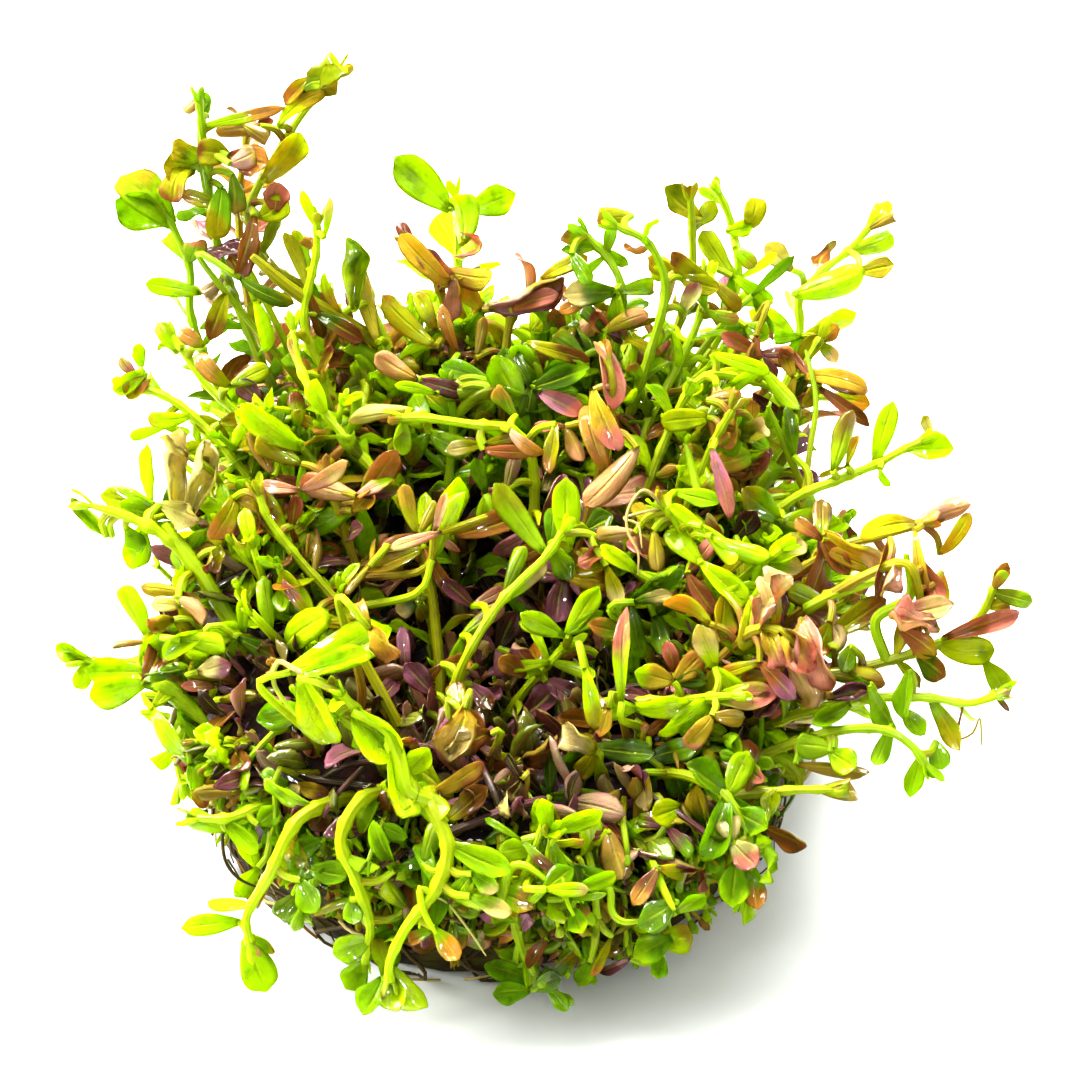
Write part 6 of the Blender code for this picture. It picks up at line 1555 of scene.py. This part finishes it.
# Sector by sector round the pad, up to so many degrees from +X: how often a shoot has each finish, how
# many shoots stand on the rim and how long they are, how many grow from the wall and how long. The front
# sectors lean to darker greens and the back ones to lime: partly the plant's colours, partly painted shade
# at the front and painted light at the back
SECTORS = (
    (20, {"olive": 2, "russet": 2, "lime": 7, "green": 3}, 13, (6, 11), 12, (6, 12)),
    (60, {"lime": 9, "olive": 2, "russet": 1, "green": 3}, 32, (7, 13), 18, (8, 14)),
    (115, {"green": 3, "russet": 1.5, "olive": 2, "lime": 9}, 40, (7, 14), 18, (9, 15)),
    (160, {"lime": 9, "green": 3, "olive": 1.5, "russet": 1}, 40, (6, 13), 22, (8, 15)),
    (205, {"lime": 10, "green": 4, "olive": 1, "russet": 0.5}, 40, (5, 11), 34, (6, 14)),
    (240, {"lime": 6, "green": 7, "olive": 1, "russet": 0.4}, 12, (3, 6), 60, (5, 11)),
    (290, {"green": 10, "lime": 2.5, "olive": 1, "russet": 0.4}, 8, (2, 4), 66, (4, 10)),
    (330, {"green": 10, "lime": 1.5, "olive": 1, "russet": 0.5}, 8, (2.5, 5), 46, (4, 10)),
    (360, {"olive": 3, "russet": 1.5, "lime": 6, "green": 5}, 16, (4, 8), 22, (5, 11)),
)
# Where the rim's shoots are no longer than this they are old, of this mix
SHORT_RIM = 5
SHORT_RIM_MIX = {"russet": 6, "olive": 1, "green": 2}
SHORT_RIM_AGE = 0.8
# Front wall shoots start half old, with darker tissues: partly painted shade at the front
FRONT_AGE = 0.5
# Shoots in the hollow are old from the start, with dark russet tissues, partly painted shade of the pit
HOLLOW_MIX = {"green": 2, "russet": 6, "olive": 0.7}
HOLLOW_SHOOTS = 18
HOLLOW_LENGTHS = (4, 9)
# Shoots that hang from the tangle's foot over the front of the pad, between these angles, mostly in dark
# greens that are partly painted shade under the plant
FRINGE_MIX = {"green": 6, "olive": 2, "russet": 1, "lime": 1}
FRINGE_SHOOTS = 80
FRINGE_SPAN = (200, 345)
FRINGE_LENGTHS = (7, 13)
# How deep a wall shoot's foot is in the tangle
WALL_DEPTH = 1.5
# Which crowd carries a single leaf of each tissue
FAMILY = {tissue: finish for finish, tissues in (
    ("lime", "lime bright amber_tip"), ("green", "grass green deep"),
    ("olive", "olive olive_tip amber brown root_brown root_cream pale"),
    ("russet", "rust pink mauve plum dark_plum")) for tissue in tissues.split()}
UP = Vector((0, 0, 1))
crowd = {finish: Growth(finish, 700 + k) for k, finish in enumerate(("lime", "green", "olive", "russet"))}
spread_over = random.Random(77)


def leaf_pair(growth, place, along, axis, length, spread, width_share, age_and_shade):
    """Two leaves opposite each other on a stem, where they leave the singly set ones in sight."""
    draw = growth.draw
    for sign in (1, -1):
        out = axis * sign
        angle = math.radians(spread) + draw.uniform(-0.2, 0.2)
        reach = length * draw.uniform(0.8, 1.2)
        direction = along * math.cos(angle) + out * math.sin(angle)
        direction = (direction + Vector((0, 0, draw.uniform(-0.2, 0.2)))).normalized()
        tip = place + direction * reach
        tip.z = max(tip.z, 0.4)
        face = TOWARDS_VIEW * 0.7 + Vector((draw.gauss(0, 0.4), draw.gauss(0, 0.4), 0.5))
        if hides(place.lerp(tip, 0.4), place.lerp(tip, 0.7), tip) or strays(tip):
            continue
        across = out.cross(along) + direction.cross(face) * draw.choice((-0.9, 0.9))
        free_leaf(growth, place, tip, across, reach * width_share, age_and_shade)


def add_crowd_shoot(growth, foot, lean, end, length, starting_age_and_shade=0.0):
    """A short stem from foot that starts off along lean and finishes along end, with its leaves."""
    draw = spread_over
    lean = (lean + scattered(draw, 0.3, 0.2)).normalized()
    end = (end + scattered(draw, 0.3, 0.1)).normalized()
    middle = foot + lean * length * 0.5
    tip = middle + (lean * 0.3 + end).normalized() * length * 0.5
    if tip.z < LOWEST_TIP or hides(middle, tip) or strays(tip):
        return
    route = Route([foot, foot.lerp(middle, 0.5) + lean * 0.3, middle, tip], draw.uniform(0, ROUND))
    front = foot.y < FRONT_FROM
    leaf_length = draw.uniform(*(FRONT_LEAF if front else CROWD_LEAF))
    growth.stem(route.places[::3] + [route.places[-1]],
                lambda share: CROWD_RADIUS * leaf_length * (1 - CROWD_TAPER * share))
    distance = route.length - 0.4
    pair = 0
    while distance > 1.2:
        place, along, side, other = route.at(distance)
        size = leaf_length * YOUNG_SIZES[pair] if pair < len(YOUNG_SIZES) else leaf_length
        # Leaves towards a shoot's foot take older, darker tissues: partly their own age, partly painted
        # shade
        age_and_shade = min(1.0, starting_age_and_shade + (route.length - distance) / OLD_AND_SHADED_DISTANCE)
        leaf_pair(growth, place, along, side if pair % 2 else other, size, CROWD_SPREADS[min(pair, 1)],
                  growth.draw.uniform(*(FRONT_WIDTH if front else CROWD_WIDTH)), age_and_shade)
        pair += 1
        distance -= draw.uniform(*CROWD_SPACING)
    end_place, along, side, other = route.at(route.length)
    for out in (side, -side):
        reach = (along + out * 0.35).normalized() * draw.uniform(*CROWD_BUD)
        growth.leaf(end_place - along * 0.3, end_place + reach, out.cross(along), 0.8,
                    growth.tissue(starting_age_and_shade), curl=0.4, fold=0.6)


def pick_growth(mix):
    return crowd[spread_over.choices(list(mix), list(mix.values()))[0]]


first = 0
draw = spread_over
for last, mix, on_rim, rim_lengths, on_wall, wall_lengths in SECTORS:
    short = rim_lengths[1] <= SHORT_RIM
    for _ in range(on_rim):
        angle = math.radians(draw.uniform(first, last))
        level = draw.uniform(RIM_RING - 1.0, RIM_RING + 1.0)
        radial = Vector(round_place(angle, 1, 0))
        foot = growth_place(level, angle) - UP
        growth = pick_growth(SHORT_RIM_MIX if short else mix)
        lean = UP + radial * draw.uniform(-0.1, 0.8)
        end = UP * draw.uniform(0.0, 1.0) + radial * draw.uniform(-0.2, 0.9)
        add_crowd_shoot(growth, foot, lean, end, draw.uniform(*rim_lengths), SHORT_RIM_AGE if short else 0.0)
    for _ in range(on_wall):
        angle = math.radians(draw.uniform(first, last))
        front = max(0.0, -math.sin(angle))
        level = 0.05 + (RIM_RING - 1.05) * draw.random() ** (1.0 + 0.8 * front)
        radial = Vector(round_place(angle, 1, 0))
        foot = growth_place(level, angle) - radial * WALL_DEPTH
        hang = -front * draw.uniform(0.3, 1.6) + (1 - front) * draw.uniform(-0.2, 1.0)
        growth = pick_growth(mix)
        lean = radial * draw.uniform(0.7, 1.1) + UP * draw.uniform(0.0, 0.8)
        end = radial * draw.uniform(0.2, 0.7) + UP * hang
        add_crowd_shoot(growth, foot, lean, end, draw.uniform(*wall_lengths), FRONT_AGE * front)
    first = last
for _ in range(FRINGE_SHOOTS):
    angle = math.radians(draw.uniform(*FRINGE_SPAN))
    radial = Vector(round_place(angle, 1, 0))
    foot = growth_place(draw.uniform(0.0, 0.4), angle) - radial * WALL_DEPTH
    growth = pick_growth(FRINGE_MIX)
    add_crowd_shoot(growth, foot, radial * 0.9 - UP * 0.3, radial * 0.2 - UP, draw.uniform(*FRINGE_LENGTHS),
                    FRONT_AGE)
for _ in range(HOLLOW_SHOOTS):
    angle = draw.uniform(0, 2 * math.pi)
    level = draw.uniform(RIM_RING + 0.8, LAST_RING - 0.3)
    growth = pick_growth(HOLLOW_MIX)
    add_crowd_shoot(growth, growth_place(level, angle) - UP, growth_out(level, angle) + UP * 0.6, UP,
                    draw.uniform(*HOLLOW_LENGTHS), 1.0)


def from_tangle(root, heading):
    """Points of a side stem from the tangle's nearest face to a root, arriving along the heading."""
    angle = math.atan2(root.y, root.x)
    _, level, angle = min(((growth_place(k / 2, angle + turn / 10) - root).length, k / 2, angle + turn / 10)
                          for k in range(1, 2 * LAST_RING) for turn in range(-6, 7))
    foot, out = growth_place(level, angle), growth_out(level, angle)
    gap = (root - foot).length
    return [foot - out, foot + out * gap * 0.25, root - heading.normalized() * gap * 0.25, root]


LOOSE_STALK_FOOT = 0.15
for root, tip, width, tissues, bend in loose_leaves:
    growth = crowd[FAMILY[tissues.split()[0]]]
    places = Route(from_tangle(root, tip - root), 0).places
    growth.stem(places[::2] + [places[-1]], lambda share: STALK_RADIUS + LOOSE_STALK_FOOT * (1 - share))
    single_leaf(growth, root, tip, width, tissues, bend)
    set_leaves.append((root, tip, width, tissues))
# The leaves that grow beside and behind each listed leaf, except the longest
PARTNERS = 2
PARTNER_LONGEST = 6.5
PARTNER_TURN = (1.6, 4.7)
PARTNER_BEHIND = (1.0, 4.0)
ALIKE_SHARE = 0.4
for root, tip, width, tissues in set_leaves:
    growth = crowd[FAMILY[tissues.split()[0]]]
    for _ in range(PARTNERS if (tip - root).length < PARTNER_LONGEST else 0):
        turn = Matrix.Rotation(draw.uniform(*PARTNER_TURN), 3, TOWARDS_VIEW)
        reach = turn @ (tip - root) * draw.uniform(0.7, 1.0)
        end = root + reach - TOWARDS_VIEW * draw.uniform(*PARTNER_BEHIND)
        if end.z > FOOT_CLEARANCE and not strays(end) and not hides(root.lerp(end, 0.5), end):
            tissue = tissues.split()[0] if draw.random() < ALIKE_SHARE else growth.tissue(0.6)
            growth.leaf(root, end, (end - root).cross(TOWARDS_VIEW), width * draw.uniform(0.7, 1.0), tissue,
                        curl=draw.uniform(-1.2, 0.6), fold=draw.uniform(0.4, 1.4), twist=draw.gauss(0, 0.4),
                        wave=draw.uniform(0.0, 0.2))
SINGLE_STEM_TAPER = 0.5
for radius, tissue_pair, places in single_stems:
    gap, name, distance = nearest_on_shoots(places[0])
    if gap < SIDE_REACH:
        lead = [routes[name].at(distance)[0]]
    else:
        lead = from_tangle(places[0], places[1] - places[0])[:-1]
    growth = crowd[FAMILY[tissue_pair[0]]]
    growth.stem(Route(lead + places, 0).places, lambda share: radius * (1 - SINGLE_STEM_TAPER * share ** 5),
                tissue_pair)
for finish, growth in crowd.items():
    finish_piece(growth, finish + "_crowd", leaf_cells=(4, 6), stem_sides=6)

# Roots on the pad. Fine threads, brown or cream, that grew out of the old stems' feet through the jelly;
# they lie matted in its skin, and some loop off it.
THREADS = 320
THREAD_RADIUS = (0.09, 0.28)
THREAD_STEPS = (6, 14)
THREAD_STEP = 1.1
THREAD_TAPER = 0.4
THREAD_DEPTH = 0.25
LOOP_SHARE = 0.12
LOOP_LIFT = (0.6, 3.0)
THREAD_TISSUES = (("root_brown", "root_brown"), ("root_cream", "root_cream"), ("brown", "root_brown"))
THREAD_SHARES = (6, 2, 2)
roots = Growth("root_mat", 91)
draw = roots.draw
for _ in range(THREADS):
    angle = draw.uniform(0, 2 * math.pi)
    height = draw.uniform(0.4, PAD_HEIGHT - 0.3)
    heading = draw.uniform(-1, 1)
    lift = draw.uniform(*LOOP_LIFT) if draw.random() < LOOP_SHARE else 0.0
    radius = draw.uniform(*THREAD_RADIUS)
    steps = draw.randint(*THREAD_STEPS)
    places = []
    for k in range(steps):
        off = lift * math.sin(math.pi * k / (steps - 1))
        low = Vector(pad_place((height, PAD_RADIUS - THREAD_DEPTH), angle))
        places.append(low + Vector(round_place(angle, 1, 0)) * off + UP * (0.5 * off))
        heading += draw.gauss(0, 0.35)
        angle += THREAD_STEP / PAD_RADIUS * math.cos(heading)
        height = min(max(height + THREAD_STEP * math.sin(heading), radius + 0.1), PAD_HEIGHT)
    roots.stem(places, lambda share: radius * (1 - THREAD_TAPER * share),
               draw.choices(THREAD_TISSUES, THREAD_SHARES)[0])
finish_piece(roots, "root_threads", stem_sides=5)
